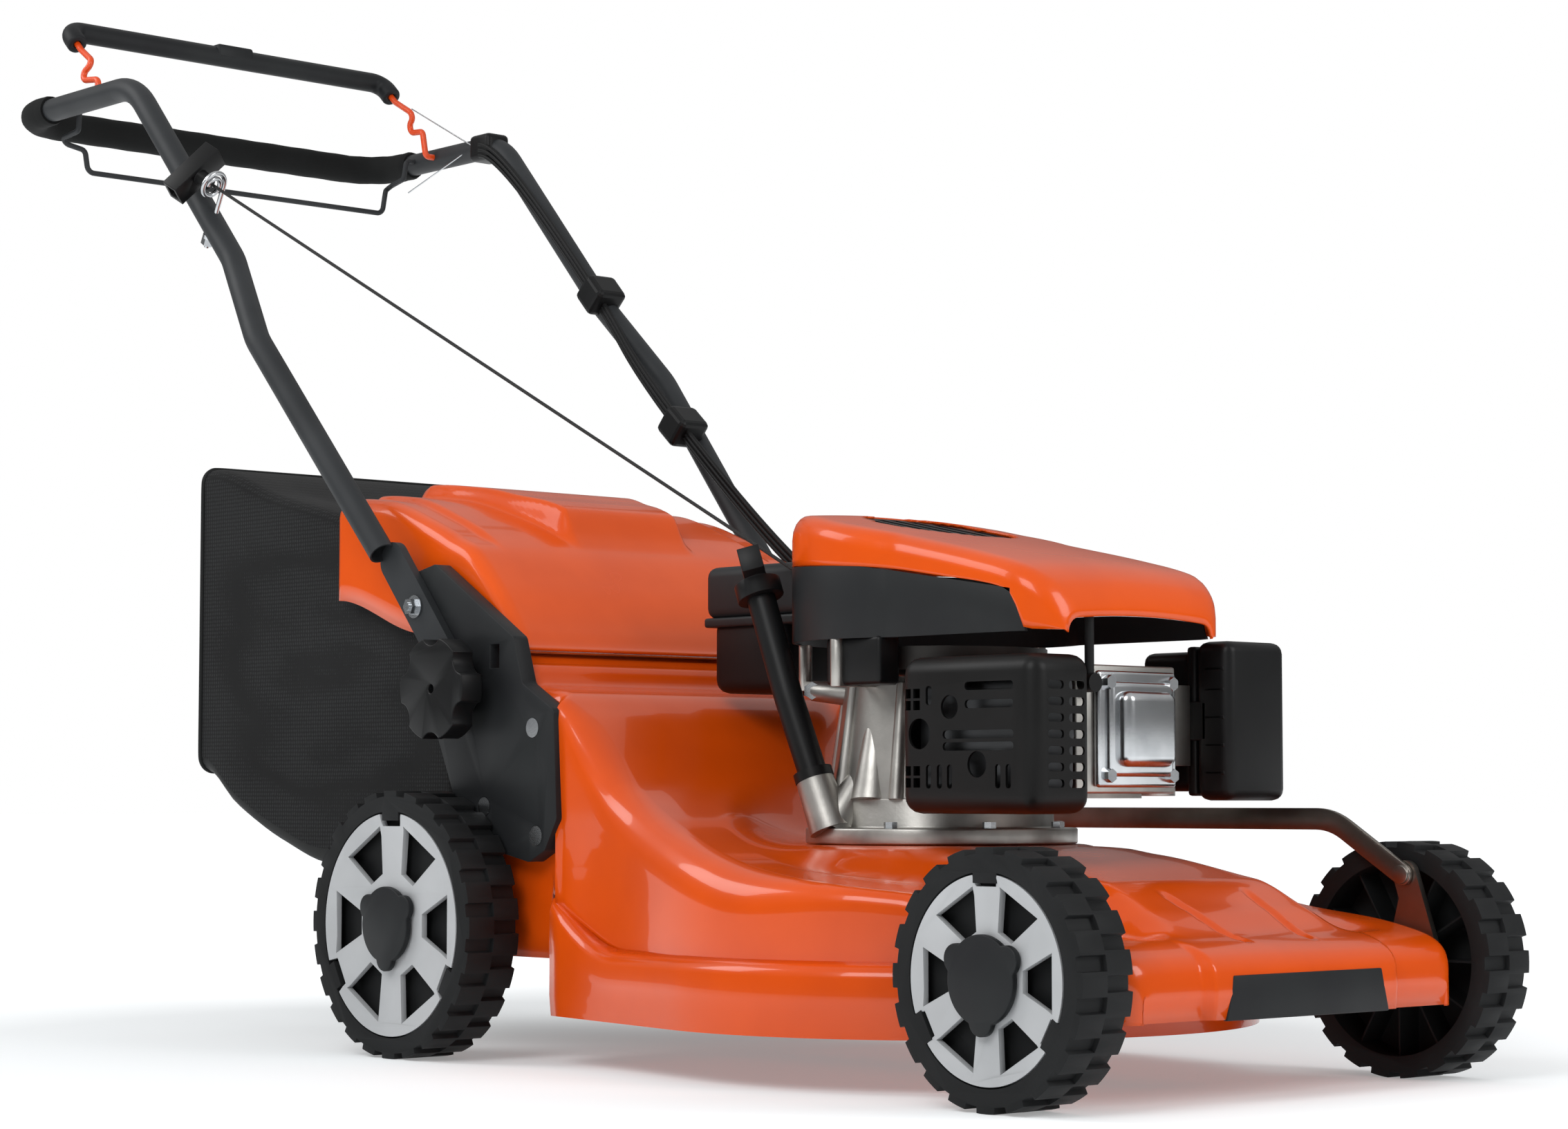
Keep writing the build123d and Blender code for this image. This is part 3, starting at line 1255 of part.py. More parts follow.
def tank_shape():
    body = slab_z(rectangle(TANK_X, TANK_Y), TANK_Z, TANK_CORNER)
    tab = box((TANK_X[1] - TANK_WALL, CRANK_X), (-TANK_TAB_HALF, TANK_TAB_HALF), TANK_TAB_Z)
    body += tab - rod_z(CRANK_X, 0, TANK_TAB_Z, SHROUD_R + RUN_FIT)
    hollow_x = (TANK_X[0] + TANK_WALL, TANK_X[1] - TANK_WALL)
    hollow_y = (TANK_Y[0] + TANK_WALL, TANK_Y[1] - TANK_WALL)
    return body - box(hollow_x, hollow_y, (TANK_Z[0] + TANK_WALL, TANK_Z[1] - TANK_WALL))


def tank_cap_shape():
    x, y = TANK_CAP_SPOT
    return rod_z(x, y, (TANK_Z[1] + RUN_FIT, TANK_Z[1] + TANK_CAP), TANK_CAP_R)


def oil_tube_shape():
    return rod_along((OIL_FOOT, OIL_KNEE, OIL_TOP), OIL_BEND, OIL_TUBE_R) - sump_shape()


def oil_cap_axis():
    return (Vector(*OIL_TOP) - Vector(*OIL_KNEE)).normalized()


def oil_cap_shape():
    axis = oil_cap_axis()
    base = Plane(Vector(*OIL_TOP) + axis * SEAT_GAP, x_dir=OIL_CAP_FACING, z_dir=axis)
    cap = extrude(base * Circle(OIL_CAP_R), amount=OIL_CAP_SKIRT)
    length, width, height = OIL_CAP_BAR
    bar = base * Pos(0, 0, OIL_CAP_SKIRT + height / 2) * Box(length, width, height)
    return cap + bar


def spark_lead_shape():
    boot = rod_x((HEAD_X[1], HEAD_X[1] + BOOT_LENGTH), BOOT_Y, BOOT_Z, BOOT_R)
    return boot + rod_z(HEAD_X[1] + BOOT_LENGTH / 2, BOOT_Y, (BOOT_Z, SHROUD_Z + BOOT_LENGTH), LEAD_R)


# Turning parts of the engine
def shaft_shape():
    shaft = rod_z(CRANK_X, 0, (SHAFT_BOTTOM, FLYWHEEL_Z[1] + 4), SHAFT_R)
    return shaft + rod_z(CRANK_X, 0, SHAFT_WEB, SHAFT_WEB_R)


def flywheel_shape():
    wheel = rod_z(CRANK_X, 0, FLYWHEEL_Z, FLYWHEEL_R)
    return wheel - rod_z(CRANK_X, 0, (FLYWHEEL_Z[0] - 1, FLYWHEEL_Z[1] + 1), SHAFT_R)


def adapter_shape():
    body = rod_z(CRANK_X, 0, (BLADE_Z + BLADE_THICK, ADAPTER_TOP), ADAPTER_R)
    return body - rod_z(CRANK_X, 0, (SHAFT_BOTTOM, ADAPTER_TOP + 1), SHAFT_R)


def blade_shape():
    half = BLADE_WIDTH / 2
    blade_z = (BLADE_Z, BLADE_Z + BLADE_THICK)
    bar = box((CRANK_X - BLADE_R, CRANK_X + BLADE_R), (-half, half), blade_z) & rod_z(CRANK_X, 0, blade_z, BLADE_R)
    return bar - rod_z(CRANK_X, 0, blade_z, BLADE_BOLT_R / 2)


def blade_bolt_shape():
    head = Pos(CRANK_X, 0, BLADE_Z - BLADE_BOLT) * extrude(RegularPolygon(BLADE_BOLT_R, 6), amount=BLADE_BOLT)
    return head + rod_z(CRANK_X, 0, (BLADE_Z, BLADE_Z + BLADE_THICK), BLADE_BOLT_R / 2)


NODES = {}


def add(name, shape):
    NODES[name] = shape


def add_wheels():
    sizes = (
        ("front", FRONT_TYRE_R, FRONT_HALF_TRACK, 0, FRONT_LUGS),
        ("rear", REAR_TYRE_R, REAR_HALF_TRACK, -WHEELBASE, REAR_LUGS),
    )
    for end, tyre_r, half_track, axle_x, lugs in sizes:
        pieces = {
            "wheel": wheel_shape(tyre_r, lugs),
            "wheel_cover": cover_shape(tyre_r),
            "hub_cap": cap_shape(),
        }
        for piece, shape in pieces.items():
            left = place_wheel(shape, tyre_r, half_track, axle_x)
            add(f"{piece}_{end}_left", left)
            add(f"{piece}_{end}_right", right_of(left))


def add_chassis():
    add("front_axle", front_axle_shape())
    add("rear_axle", rear_axle_shape())
    add("link_bar", link_bar_shape())
    add("height_lever", height_lever_shape())
    add("deck", deck_shape())
    add("front_insert", insert_shape())
    add("bracket_left", bracket_shape(LEFT_SCREW_SPOTS))
    add("bracket_right", right_of(bracket_shape(SCREW_SPOTS)))
    right_screws = [right_of(screw) for screw in bracket_screws(SCREW_SPOTS)]
    stud = stud_shape()
    bolt = pivot_bolt_shape()
    left_pieces = bracket_screws(LEFT_SCREW_SPOTS) + [stud, bolt]
    add("bracket_fasteners", group(*left_pieces, *right_screws, right_of(stud), right_of(bolt)))
    knob = knob_shape()
    add("knob_left", knob)
    add("knob_right", right_of(knob))
    add("flap_hinge_rod", hinge_rod_shape())
    add("rear_flap", flap_shape())
    add("bag_fabric", bag_shape())
    add("bag_frame", bag_frame_shape())


def add_handle():
    add("handlebar", handlebar_shape())
    add("foam_grip", foam_shape())
    add("stop_bail_wire", stop_bail_wire_shape())
    add("stop_bail_cover", stop_bail_cover_shape())
    add("drive_bail", drive_bail_shape())
    add("rope_guide", group(rope_guide_shape(), guide_nut_shape()))
    add("starter_rope", rope_shape())
    add("starter_rope_tail", rope_tail_shape())
    add("starter_grip", starter_grip_shape())
    add("cable_bracket", cable_box_shape())
    add("cable_clips", group(*[cable_clip_shape(share) for share in CLIP_SHARES]))
    add("control_cables", cable_shape())


def add_engine():
    add("sump", sump_shape())
    add("crankcase", crankcase_shape())
    add("cylinder_head", head_shape())
    add("valve_cover", valve_cover_shape())
    add("valve_cover_bolts", cover_bolts_shape())
    add("muffler", muffler_shape())
    add("muffler_guard", guard_shape())
    add("spark_plug_lead", spark_lead_shape())
    add("carburettor", carburettor_shape())
    add("air_filter_housing", filter_shape())
    add("fuel_tank", tank_shape())
    add("fuel_cap", tank_cap_shape())
    add("oil_filler_tube", oil_tube_shape())
    add("oil_cap", oil_cap_shape())
    add("blower_shroud", shroud_shape())
    add("engine_cowl", cowl_shape())
    add("starter_grille", grille_shape())
    add("crankshaft", shaft_shape())
    add("flywheel", flywheel_shape())
    add("blade_adapter", group(adapter_shape(), blade_bolt_shape()))
    add("blade", blade_shape())


add_wheels()
add_chassis()
add_handle()
add_engine()

whole = Compound([solid for shape in NODES.values() for solid in shape.solids()]).bounding_box()
SHIFT = (-(whole.min.X + whole.max.X) / 2, -(whole.min.Y + whole.max.Y) / 2, -whole.min.Z)
print("least gap of the rope guide to itself", round(guide_self_gap(), 2))
for index in range(CABLE_COUNT):
    print("radii of cable", index, [round(radius) for radius in corner_radii(cable_points(index))])

os.makedirs("parts", exist_ok=True)
for name, shape in NODES.items():
    export_step(Pos(*SHIFT) * shape, f"parts/{name}.step")
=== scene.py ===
import json
import logging
import math
from dataclasses import dataclass
from enum import Enum
from typing import Any, Callable, Optional, Sequence

import bpy
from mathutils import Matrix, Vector


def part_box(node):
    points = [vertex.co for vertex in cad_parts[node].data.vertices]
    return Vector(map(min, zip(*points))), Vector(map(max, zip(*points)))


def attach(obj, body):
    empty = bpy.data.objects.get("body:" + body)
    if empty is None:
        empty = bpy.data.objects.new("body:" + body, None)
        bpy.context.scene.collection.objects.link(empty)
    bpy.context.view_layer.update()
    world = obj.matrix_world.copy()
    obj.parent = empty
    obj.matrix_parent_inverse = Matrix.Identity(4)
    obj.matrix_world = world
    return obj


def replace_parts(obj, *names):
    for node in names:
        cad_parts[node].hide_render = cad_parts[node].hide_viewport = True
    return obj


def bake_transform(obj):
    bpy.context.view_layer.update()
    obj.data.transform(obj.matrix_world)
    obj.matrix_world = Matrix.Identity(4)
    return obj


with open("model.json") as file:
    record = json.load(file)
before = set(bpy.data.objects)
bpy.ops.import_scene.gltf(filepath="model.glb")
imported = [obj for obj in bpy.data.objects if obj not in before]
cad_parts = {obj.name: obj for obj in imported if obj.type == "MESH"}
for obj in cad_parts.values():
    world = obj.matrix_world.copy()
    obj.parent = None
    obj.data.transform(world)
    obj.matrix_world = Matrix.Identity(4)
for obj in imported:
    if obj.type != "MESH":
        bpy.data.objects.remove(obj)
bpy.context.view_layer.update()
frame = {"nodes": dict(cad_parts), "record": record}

LOG = logging.getLogger("mower")
Pair = tuple[float, float]
Place = tuple[float, float, float]
Mesh = bpy.types.Object

# Places are written in millimetres from the ground under the front axle, +X forward
FRONT_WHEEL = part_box("wheel_front_left")
AXLE_X = (FRONT_WHEEL[0][0] + FRONT_WHEEL[1][0]) / 2
MID_Y = (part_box("rear_flap")[0][1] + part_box("rear_flap")[1][1]) / 2
CRANK_X = -327.0


def at(x: float, y: float, z: float) -> Vector:
    """Turns a place in millimetres from the front axle into the frame's metres.

    Args:
        x: Forward of the front axle.
        y: To the operator's left of the mid-plane.
        z: Above the ground.

    Returns:
        The place in the shared frame.
    """
    return Vector((x / 1000 + AXLE_X, y / 1000 + MID_Y, z / 1000))


def ease(value: float) -> float:
    """Returns a smooth step of a value held between 0 and 1."""
    held = min(1.0, max(0.0, value))
    return held * held * (3 - 2 * held)


def along(points: Sequence[Pair], x: float) -> float:
    """Reads a height off a smooth line through given points.

    Args:
        points: Pairs of station and height, in order of station.
        x: The station to read.

    Returns:
        The height there, on a curve that doesn't overshoot its points.
    """
    ordered = sorted(points)
    if x <= ordered[0][0]:
        return ordered[0][1]
    if x >= ordered[-1][0]:
        return ordered[-1][1]
    index = next(i for i in range(len(ordered) - 1) if x <= ordered[i + 1][0])

    def slope(i: int) -> float:
        """Returns the curve's slope at one of its points."""
        if i == 0 or i == len(ordered) - 1:
            return 0.0
        before = (ordered[i][1] - ordered[i - 1][1]) / (ordered[i][0] - ordered[i - 1][0])
        after = (ordered[i + 1][1] - ordered[i][1]) / (ordered[i + 1][0] - ordered[i][0])
        return 0.0 if before * after <= 0 else 2 * before * after / (before + after)

    (x0, z0), (x1, z1) = ordered[index], ordered[index + 1]
    run = x1 - x0
    t = (x - x0) / run
    bend0 = slope(index) * run
    bend1 = slope(index + 1) * run
    return (
        (2 * t**3 - 3 * t**2 + 1) * z0
        + (t**3 - 2 * t**2 + t) * bend0
        + (3 * t**2 - 2 * t**3) * z1
        + (t**3 - t**2) * bend1
    )


def spread(low: float, high: float, count: int) -> list[float]:
    """Returns evenly spaced values from low to high."""
    return [low + (high - low) * i / (count - 1) for i in range(count)]


# Materials


def linear(code: str) -> tuple[float, float, float, float]:
    """Turns an sRGB hex colour into the linear colour that a shader takes.

    Args:
        code: Six hex digits.

    Returns:
        Linear red, green and blue, and full alpha.
    """
    parts = [int(code[i : i + 2], 16) / 255 for i in (0, 2, 4)]
    red, green, blue = (c / 12.92 if c <= 0.04045 else ((c + 0.055) / 1.055) ** 2.4 for c in parts)
    return (red, green, blue, 1.0)


def fill(node: bpy.types.Node, values: dict[str, Any]) -> None:
    """Sets the values of a shader node's sockets, by name."""
    for name, value in values.items():
        node.inputs[name].default_value = value


def add_node(
    tree: bpy.types.NodeTree,
    kind: str,
    inputs: Optional[dict[str, Any]] = None,
    links: Optional[dict[str, bpy.types.NodeSocket]] = None,
    **settings: Any,
) -> bpy.types.Node:
    """Adds one shader node with its settings, values and links.

    Args:
        tree: The material's node tree.
        kind: The node's type name.
        inputs: Values for its sockets, by name.
        links: Sockets that feed its sockets, by name.
        **settings: The node's own properties.

    Returns:
        The new node.
    """
    node = tree.nodes.new(kind)
    for name, value in settings.items():
        setattr(node, name, value)
    fill(node, inputs or {})
    for name, socket in (links or {}).items():
        tree.links.new(socket, node.inputs[name])
    return node


COAT_ROUGHNESS = 0.04


class Surface(Enum):
    """How a surface was made."""

    SMOOTH = "sprayed, moulded or cast, with an even grain"
    BRUSHED = "drawn or brushed along the mower"
    WOVEN = "woven of crossed threads"


@dataclass(frozen=True)
class Finish:
    """One real material and the way its surface was made.

    Attributes:
        name: The material's common name.
        colour: Its main colour, sRGB hex.
        shade: The colour that its patches drift to.
        grain_mm: Size of its grain, grit or thread spacing.
        roughness: Its mean roughness.
        relief_mm: Height of its grain.
        metallic: One for bare metal.
        coat: Weight of a clear coat.
        surface: How it was made.
        patch_mm: Size of the slow drift in colour.
        ior: Refraction index of what isn't metal.
        sheen: Weight of the fibre sheen.
    """

    name: str
    colour: str
    shade: str
    grain_mm: float
    roughness: float
    relief_mm: float
    metallic: float = 0.0
    coat: float = 0.0
    surface: Surface = Surface.SMOOTH
    patch_mm: float = 90.0
    ior: float = 1.5
    sheen: float = 0.0

    def build(self) -> bpy.types.Material:
        """Makes the procedural material.

        Returns:
            The material, whose patterns read Object coordinates.
        """
        material = bpy.data.materials.new(self.name)
        material.use_nodes = True
        tree = material.node_tree
        shader = tree.nodes["Principled BSDF"]
        fill(shader, {"Metallic": self.metallic, "Sheen Weight": self.sheen})
        fill(shader, {"Coat Weight": self.coat, "Coat Roughness": COAT_ROUGHNESS})
        if not self.metallic:
            fill(shader, {"IOR": self.ior})
        coords = add_node(tree, "ShaderNodeTexCoord").outputs["Object"]
        patches = add_node(
            tree, "ShaderNodeTexNoise", {"Scale": 1000 / self.patch_mm, "Detail": 3.0}, {"Vector": coords}
        )
        grain = self.grain(tree, coords)
        tone = add_node(
            tree,
            "ShaderNodeMix",
            {"A": linear(self.colour), "B": linear(self.shade)},
            {"Factor": self.drift(tree, patches.outputs["Fac"], grain)},
            data_type="RGBA",
        )
        tree.links.new(tone.outputs["Result"], shader.inputs["Base Color"])
        rough = add_node(
            tree,
            "ShaderNodeMapRange",
            {"To Min": self.roughness * 0.85, "To Max": min(1.0, self.roughness * 1.15)},
            {"Value": patches.outputs["Fac"]},
        )
        tree.links.new(rough.outputs["Result"], shader.inputs["Roughness"])
        bump = add_node(
            tree, "ShaderNodeBump", {"Strength": 0.6, "Distance": self.relief_mm / 1000}, {"Height": grain}
        )
        tree.links.new(bump.outputs["Normal"], shader.inputs["Normal"])
        return material

    def drift(
        self, tree: bpy.types.NodeTree, patches: bpy.types.NodeSocket, grain: bpy.types.NodeSocket
    ) -> bpy.types.NodeSocket:
        """Chooses what moves the colour towards its shade.

        Args:
            tree: The material's node tree.
            patches: The slow drift.
            grain: The fine pattern.

        Returns:
            The socket that drives the colour mix.
        """
        if self.surface is Surface.WOVEN:
            return grain
        narrow = add_node(
            tree, "ShaderNodeMapRange", {"From Min": 0.35, "From Max": 0.65}, {"Value": patches}
        )
        return narrow.outputs["Result"]

    def grain(self, tree: bpy.types.NodeTree, coords: bpy.types.NodeSocket) -> bpy.types.NodeSocket:
        """Adds the fine pattern of the surface.

        Args:
            tree: The material's node tree.
            coords: Object coordinates, in metres.

        Returns:
            The socket that holds the pattern's height, 0 to 1.
        """
        scale = 1000 / self.grain_mm
        if self.surface is Surface.WOVEN:
            # Round openings between the threads, on a regular grid of the thread spacing
            weave = add_node(
                tree,
                "ShaderNodeTexVoronoi",
                {"Scale": scale, "Randomness": 0.12},
                {"Vector": coords},
                feature="F1",
            )
            holes = add_node(
                tree,
                "ShaderNodeMapRange",
                {"From Min": 0.22, "From Max": 0.5},
                {"Value": weave.outputs["Distance"]},
            )
            return holes.outputs["Result"]
        if self.surface is Surface.BRUSHED:
            coords = add_node(
                tree, "ShaderNodeMapping", {"Scale": (0.03, 1.0, 1.0)}, {"Vector": coords}
            ).outputs["Vector"]
        noise = add_node(
            tree, "ShaderNodeTexNoise", {"Scale": scale, "Detail": 4.0, "Roughness": 0.6}, {"Vector": coords}
        )
        return noise.outputs["Fac"]


# Sprayed enamel over steel: deep colour, mirror-like coat, faint orange peel
ORANGE_ENAMEL = Finish("orange_enamel", "DC5009", "D44B06", 7.0, 0.24, 0.03, coat=0.45, ior=1.3)
# Gloss ABS covers: the same colour, a little softer in gloss
ORANGE_ABS = Finish("orange_gloss_abs", "DE5209", "D64D06", 5.0, 0.26, 0.03, coat=0.3, ior=1.3)
ORANGE_WIRE = Finish("orange_powder_coat", "E04800", "D64300", 1.5, 0.42, 0.05, coat=0.2)
# Powder-coated tube: matte, with a fine orange peel
GRAPHITE_COAT = Finish("graphite_powder_coat", "303234", "292B2D", 1.6, 0.5, 0.05, ior=1.3)
GRAPHITE_PLASTIC = Finish("graphite_grained_polypropylene", "222425", "1C1D1F", 1.2, 0.48, 0.06, ior=1.3)
BLACK_PLASTIC = Finish("black_grained_polypropylene", "0B0B0C", "111213", 1.4, 0.42, 0.06, ior=1.3)
BLACK_ENAMEL = Finish("black_stove_enamel", "0B0B0B", "121212", 2.0, 0.42, 0.05, ior=1.3)
BLACK_FOAM = Finish("black_closed_cell_foam", "0E0F0F", "151616", 2.4, 0.85, 0.25, ior=1.3)
CABLE_SHEATH = Finish("black_pvc_sheath", "0D0E0E", "151516", 1.5, 0.5, 0.03, ior=1.3)
TYRE_RUBBER = Finish("black_tyre_compound", "131415", "1B1C1D", 2.2, 0.62, 0.1, ior=1.3)
COVER_PLASTIC = Finish("light_grey_moulded_abs", "A9ABAD", "B4B6B8", 1.8, 0.42, 0.04)
CAST_ALUMINIUM = Finish(
    "sand_cast_aluminium", "B9B7B2", "9C9A96", 2.6, 0.42, 0.18, metallic=1.0, patch_mm=40.0
)
ZINC_PLATE = Finish("zinc_plated_steel", "C9CBCD", "B3B6B9", 3.0, 0.24, 0.03, metallic=1.0, patch_mm=45.0)
BRUSHED_STEEL = Finish(
    "brushed_steel", "8F8983", "7A746D", 1.2, 0.34, 0.04, metallic=1.0, surface=Surface.BRUSHED, patch_mm=60.0
)
DARK_STEEL = Finish("dark_rolled_steel", "5A5B5D", "4A4B4C", 2.5, 0.4, 0.05, metallic=1.0)
GREY_IRON = Finish("grey_cast_iron", "5C5B59", "4B4A48", 2.5, 0.55, 0.15, metallic=1.0)
# Threads drawn at 4 mm, coarser than the real mesh, so that they show in the picture
BAG_MESH = Finish(
    "black_polyester_mesh", "1D1E1F", "0A0A0B", 4.0, 0.85, 0.4, surface=Surface.WOVEN, sheen=0.05, ior=1.3
)
BAG_PANEL = Finish("black_coated_polyester", "121313", "191A1A", 2.5, 0.6, 0.12, ior=1.3)
ROPE_NYLON = Finish("black_braided_nylon", "151515", "242424", 1.6, 0.8, 0.3, surface=Surface.WOVEN)

NODES_BY_FINISH: tuple[tuple[Finish, str], ...] = (
    (ORANGE_ENAMEL, "deck"),
    (ORANGE_ABS, "engine_cowl rear_flap"),
    (ORANGE_WIRE, "stop_bail_wire"),
    (GRAPHITE_COAT, "handlebar drive_bail"),
    (GRAPHITE_PLASTIC, "front_insert bracket_left bracket_right blower_shroud stop_bail_cover"),
    (BLACK_PLASTIC, "air_filter_housing fuel_tank fuel_cap oil_filler_tube oil_cap starter_grille"),
    (BLACK_PLASTIC, "cable_bracket cable_clips starter_grip bag_frame knob_left knob_right"),
    (BLACK_ENAMEL, "muffler_guard height_lever"),
    (BLACK_FOAM, "foam_grip"),
    (CABLE_SHEATH, "spark_plug_lead control_cables"),
    (CAST_ALUMINIUM, "sump crankcase cylinder_head carburettor"),
    (ZINC_PLATE, "bracket_fasteners flap_hinge_rod valve_cover valve_cover_bolts rope_guide"),
    (BRUSHED_STEEL, "front_axle rear_axle link_bar"),
    (DARK_STEEL, "muffler crankshaft blade_adapter blade"),
    (GREY_IRON, "flywheel"),
    (BAG_MESH, "bag_fabric"),
    (ROPE_NYLON, "starter_rope starter_rope_tail"),
)
NODE_FINISHES = {node: finish for finish, nodes in NODES_BY_FINISH for node in nodes.split()}
WHEELS = [f"{end}_{side}" for end in ("front", "rear") for side in ("left", "right")]


class Palette:
    """Builds each finish once and hands it out."""

    def __init__(self) -> None:
        """Starts with no material built."""
        self.built: dict[str, bpy.types.Material] = {}

    def paint(self, piece: Mesh, finish: Finish) -> None:
        """Gives a piece one finish all over.

        Args:
            piece: The piece to dress.
            finish: What it is made of.
        """
        if finish.name not in self.built:
            self.built[finish.name] = finish.build()
        piece.data.materials.clear()
        piece.data.materials.append(self.built[finish.name])

    def of_node(self, node: str) -> Finish:
        """Returns what a CAD node is made of."""
        if node in NODE_FINISHES:
            return NODE_FINISHES[node]
        if node.startswith("wheel_cover"):
            return COVER_PLASTIC
        return GRAPHITE_PLASTIC if node.startswith("hub_cap") else TYRE_RUBBER

    def dress_nodes(self) -> None:
        """Gives every CAD node the material it is made of."""
        for name, node in frame["nodes"].items():
            self.paint(node, self.of_node(name))


PALETTE = Palette()


# Modelling


def settle(piece: Mesh, name: str, body: Optional[str] = None) -> Mesh:
    """Names a finished piece, puts its place into its mesh and hangs it on a body.

    Args:
        piece: The piece.
        name: Its name.
        body: The body that it moves with; a piece that runs between bodies has none.

    Returns:
        The same piece.
    """
    pick(piece)
    bpy.ops.object.transform_apply(location=True, rotation=True, scale=True)
    piece.name = name
    piece.data.name = name
    if body:
        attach(piece, body)
    LOG.info("%s: %d faces on %s", name, len(piece.data.polygons), body or "two bodies")
    return piece


def pick(piece: Mesh) -> None:
    """Makes one object the only selected and active one."""
    bpy.ops.object.select_all(action="DESELECT")
    piece.select_set(True)
    bpy.context.view_layer.objects.active = piece


def dress(
    piece: Mesh, finish: Finish, name: str, body: Optional[str] = None, node: Optional[str] = None
) -> Mesh:
    """Paints and settles a finished piece, and stands it in for a CAD node.

    Args:
        piece: The piece.
        finish: What it is made of.
        name: Its name.
        body: The body that it moves with, if it is a single one.
        node: The CAD node that it replaces, if there is one.

    Returns:
        The same piece.
    """
    PALETTE.paint(piece, finish)
    settle(piece, name, body)
    if node:
        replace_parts(piece, node)
    return piece


def shade(degrees: float) -> None:
    """Shades the active piece smooth, apart from edges sharper than an angle."""
    bpy.ops.object.shade_smooth_by_angle(angle=math.radians(degrees))


def modify(piece: Mesh, kind: str, **settings: Any) -> None:
    """Adds a modifier, sets it and applies it.

    Args:
        piece: The piece to change.
        kind: The modifier's type.
        **settings: The modifier's properties.
    """
    pick(piece)
    modifier = piece.modifiers.new(kind.lower(), kind)
    for name, value in settings.items():
        setattr(modifier, name, value)
    bpy.ops.object.modifier_apply(modifier=modifier.name)


def drape(rows: Sequence[Sequence[Vector]], merge_mm: float = 0.05) -> Mesh:
    """Shapes a grid into a skin through rows of points.

    Args:
        rows: Rows of points, all of one length; rows run along the piece, points across it.
        merge_mm: Points closer than this become one.

    Returns:
        The skin, smooth shaded.
    """
    across = len(rows[0])
    bpy.ops.mesh.primitive_grid_add(x_subdivisions=across - 1, y_subdivisions=len(rows) - 1, size=1)
    piece = bpy.context.object
    flat = [value for row in rows for point in row for value in point]
    piece.data.vertices.foreach_set("co", flat)
    piece.data.update()
    bpy.ops.object.mode_set(mode="EDIT")
    bpy.ops.mesh.select_all(action="SELECT")
    bpy.ops.mesh.remove_doubles(threshold=merge_mm / 1000)
    bpy.ops.object.mode_set(mode="OBJECT")
    shade(38)
    return piece


def join(pieces: Sequence[Mesh]) -> Mesh:
    """Joins pieces into the first of them.

    Args:
        pieces: The pieces.

    Returns:
        The joined piece.
    """
    bpy.ops.object.select_all(action="DESELECT")
    for piece in pieces:
        piece.select_set(True)
    bpy.context.view_layer.objects.active = pieces[0]
    bpy.ops.object.join()
    return pieces[0]


def smooth_line(points: Sequence[Vector], order: int, resolution: int) -> Mesh:
    """Makes the smooth line that a bar or a cord follows.

    Args:
        points: The control points of the line.
        order: Order of the line's spline; 2 keeps straight runs.
        resolution: Steps for each span of the line.

    Returns:
        The line, as a curve object.
    """
    curve = bpy.data.curves.new("line", "CURVE")
    curve.dimensions = "3D"
    curve.resolution_u = resolution
    spline = curve.splines.new("NURBS")
    spline.points.add(len(points) - 1)
    for spot, place in zip(spline.points, points):
        spot.co = (*place, 1.0)
    spline.order_u = order
    spline.use_endpoint_u = True
    line = bpy.data.objects.new("line", curve)
    bpy.context.scene.collection.objects.link(line)
    return line


def tube(points: Sequence[Vector], radius_mm: float, order: int = 3, resolution: int = 6) -> Mesh:
    """Makes a round bar along a smooth line.

    Args:
        points: The control points of the line.
        radius_mm: The bar's radius.
        order: Order of the line's spline; 2 keeps straight runs.
        resolution: Steps for each span of the line.

    Returns:
        The bar as a mesh with closed ends.
    """
    line = smooth_line(points, order, resolution)
    line.data.bevel_depth = radius_mm / 1000
    line.data.bevel_resolution = 4
    line.data.use_fill_caps = True
    pick(line)
    bpy.ops.object.convert(target="MESH")
    shade(50)
    return bpy.context.object


def line_points(points: Sequence[Vector], order: int = 3, resolution: int = 12) -> list[Vector]:
    """Reads the points that a smooth line passes.

    Args:
        points: The control points of the line.
        order: Order of the line's spline; 2 keeps straight runs.
        resolution: Steps for each span of the line.

    Returns:
        Places along the line, from its first end.
    """
    line = smooth_line(points, order, resolution)
    mesh = bpy.data.meshes.new_from_object(line)
    found = [vertex.co.copy() for vertex in mesh.vertices]
    bpy.data.objects.remove(line, do_unlink=True)
    return found


def declare_cord(path: Sequence[Vector], radius: float) -> None:
    """Reads a cord's first place, its length and its places, and keeps none of them.

    Args:
        path: Places along its middle, from where it comes out.
        radius: Its radius, in millimetres; not used.
    """
    tuple(path[0])
    reach_of(path)
    [tuple(p) for p in path]


def reach_of(points: Sequence[Vector]) -> float:
    """Returns the length of a line through points, in metres."""
    return sum((after - before).length for before, after in zip(points, points[1:]))


def slab(low: Place, high: Place, bevel: float = 0.0, segments: int = 3) -> Mesh:
    """Makes a box between two corners, with rounded edges.

    Args:
        low: Its lower corner, in millimetres.
        high: Its upper corner.
        bevel: Radius of its edges.
        segments: Steps of each rounding.

    Returns:
        The box.
    """
    start, end = at(*low), at(*high)
    bpy.ops.mesh.primitive_cube_add(size=1, location=(start + end) / 2)
    piece = bpy.context.object
    piece.scale = end - start
    bpy.ops.object.transform_apply(location=True, rotation=True, scale=True)
    if bevel:
        modify(piece, "BEVEL", width=bevel / 1000, segments=segments, limit_method="NONE")
        shade(40)
    return piece


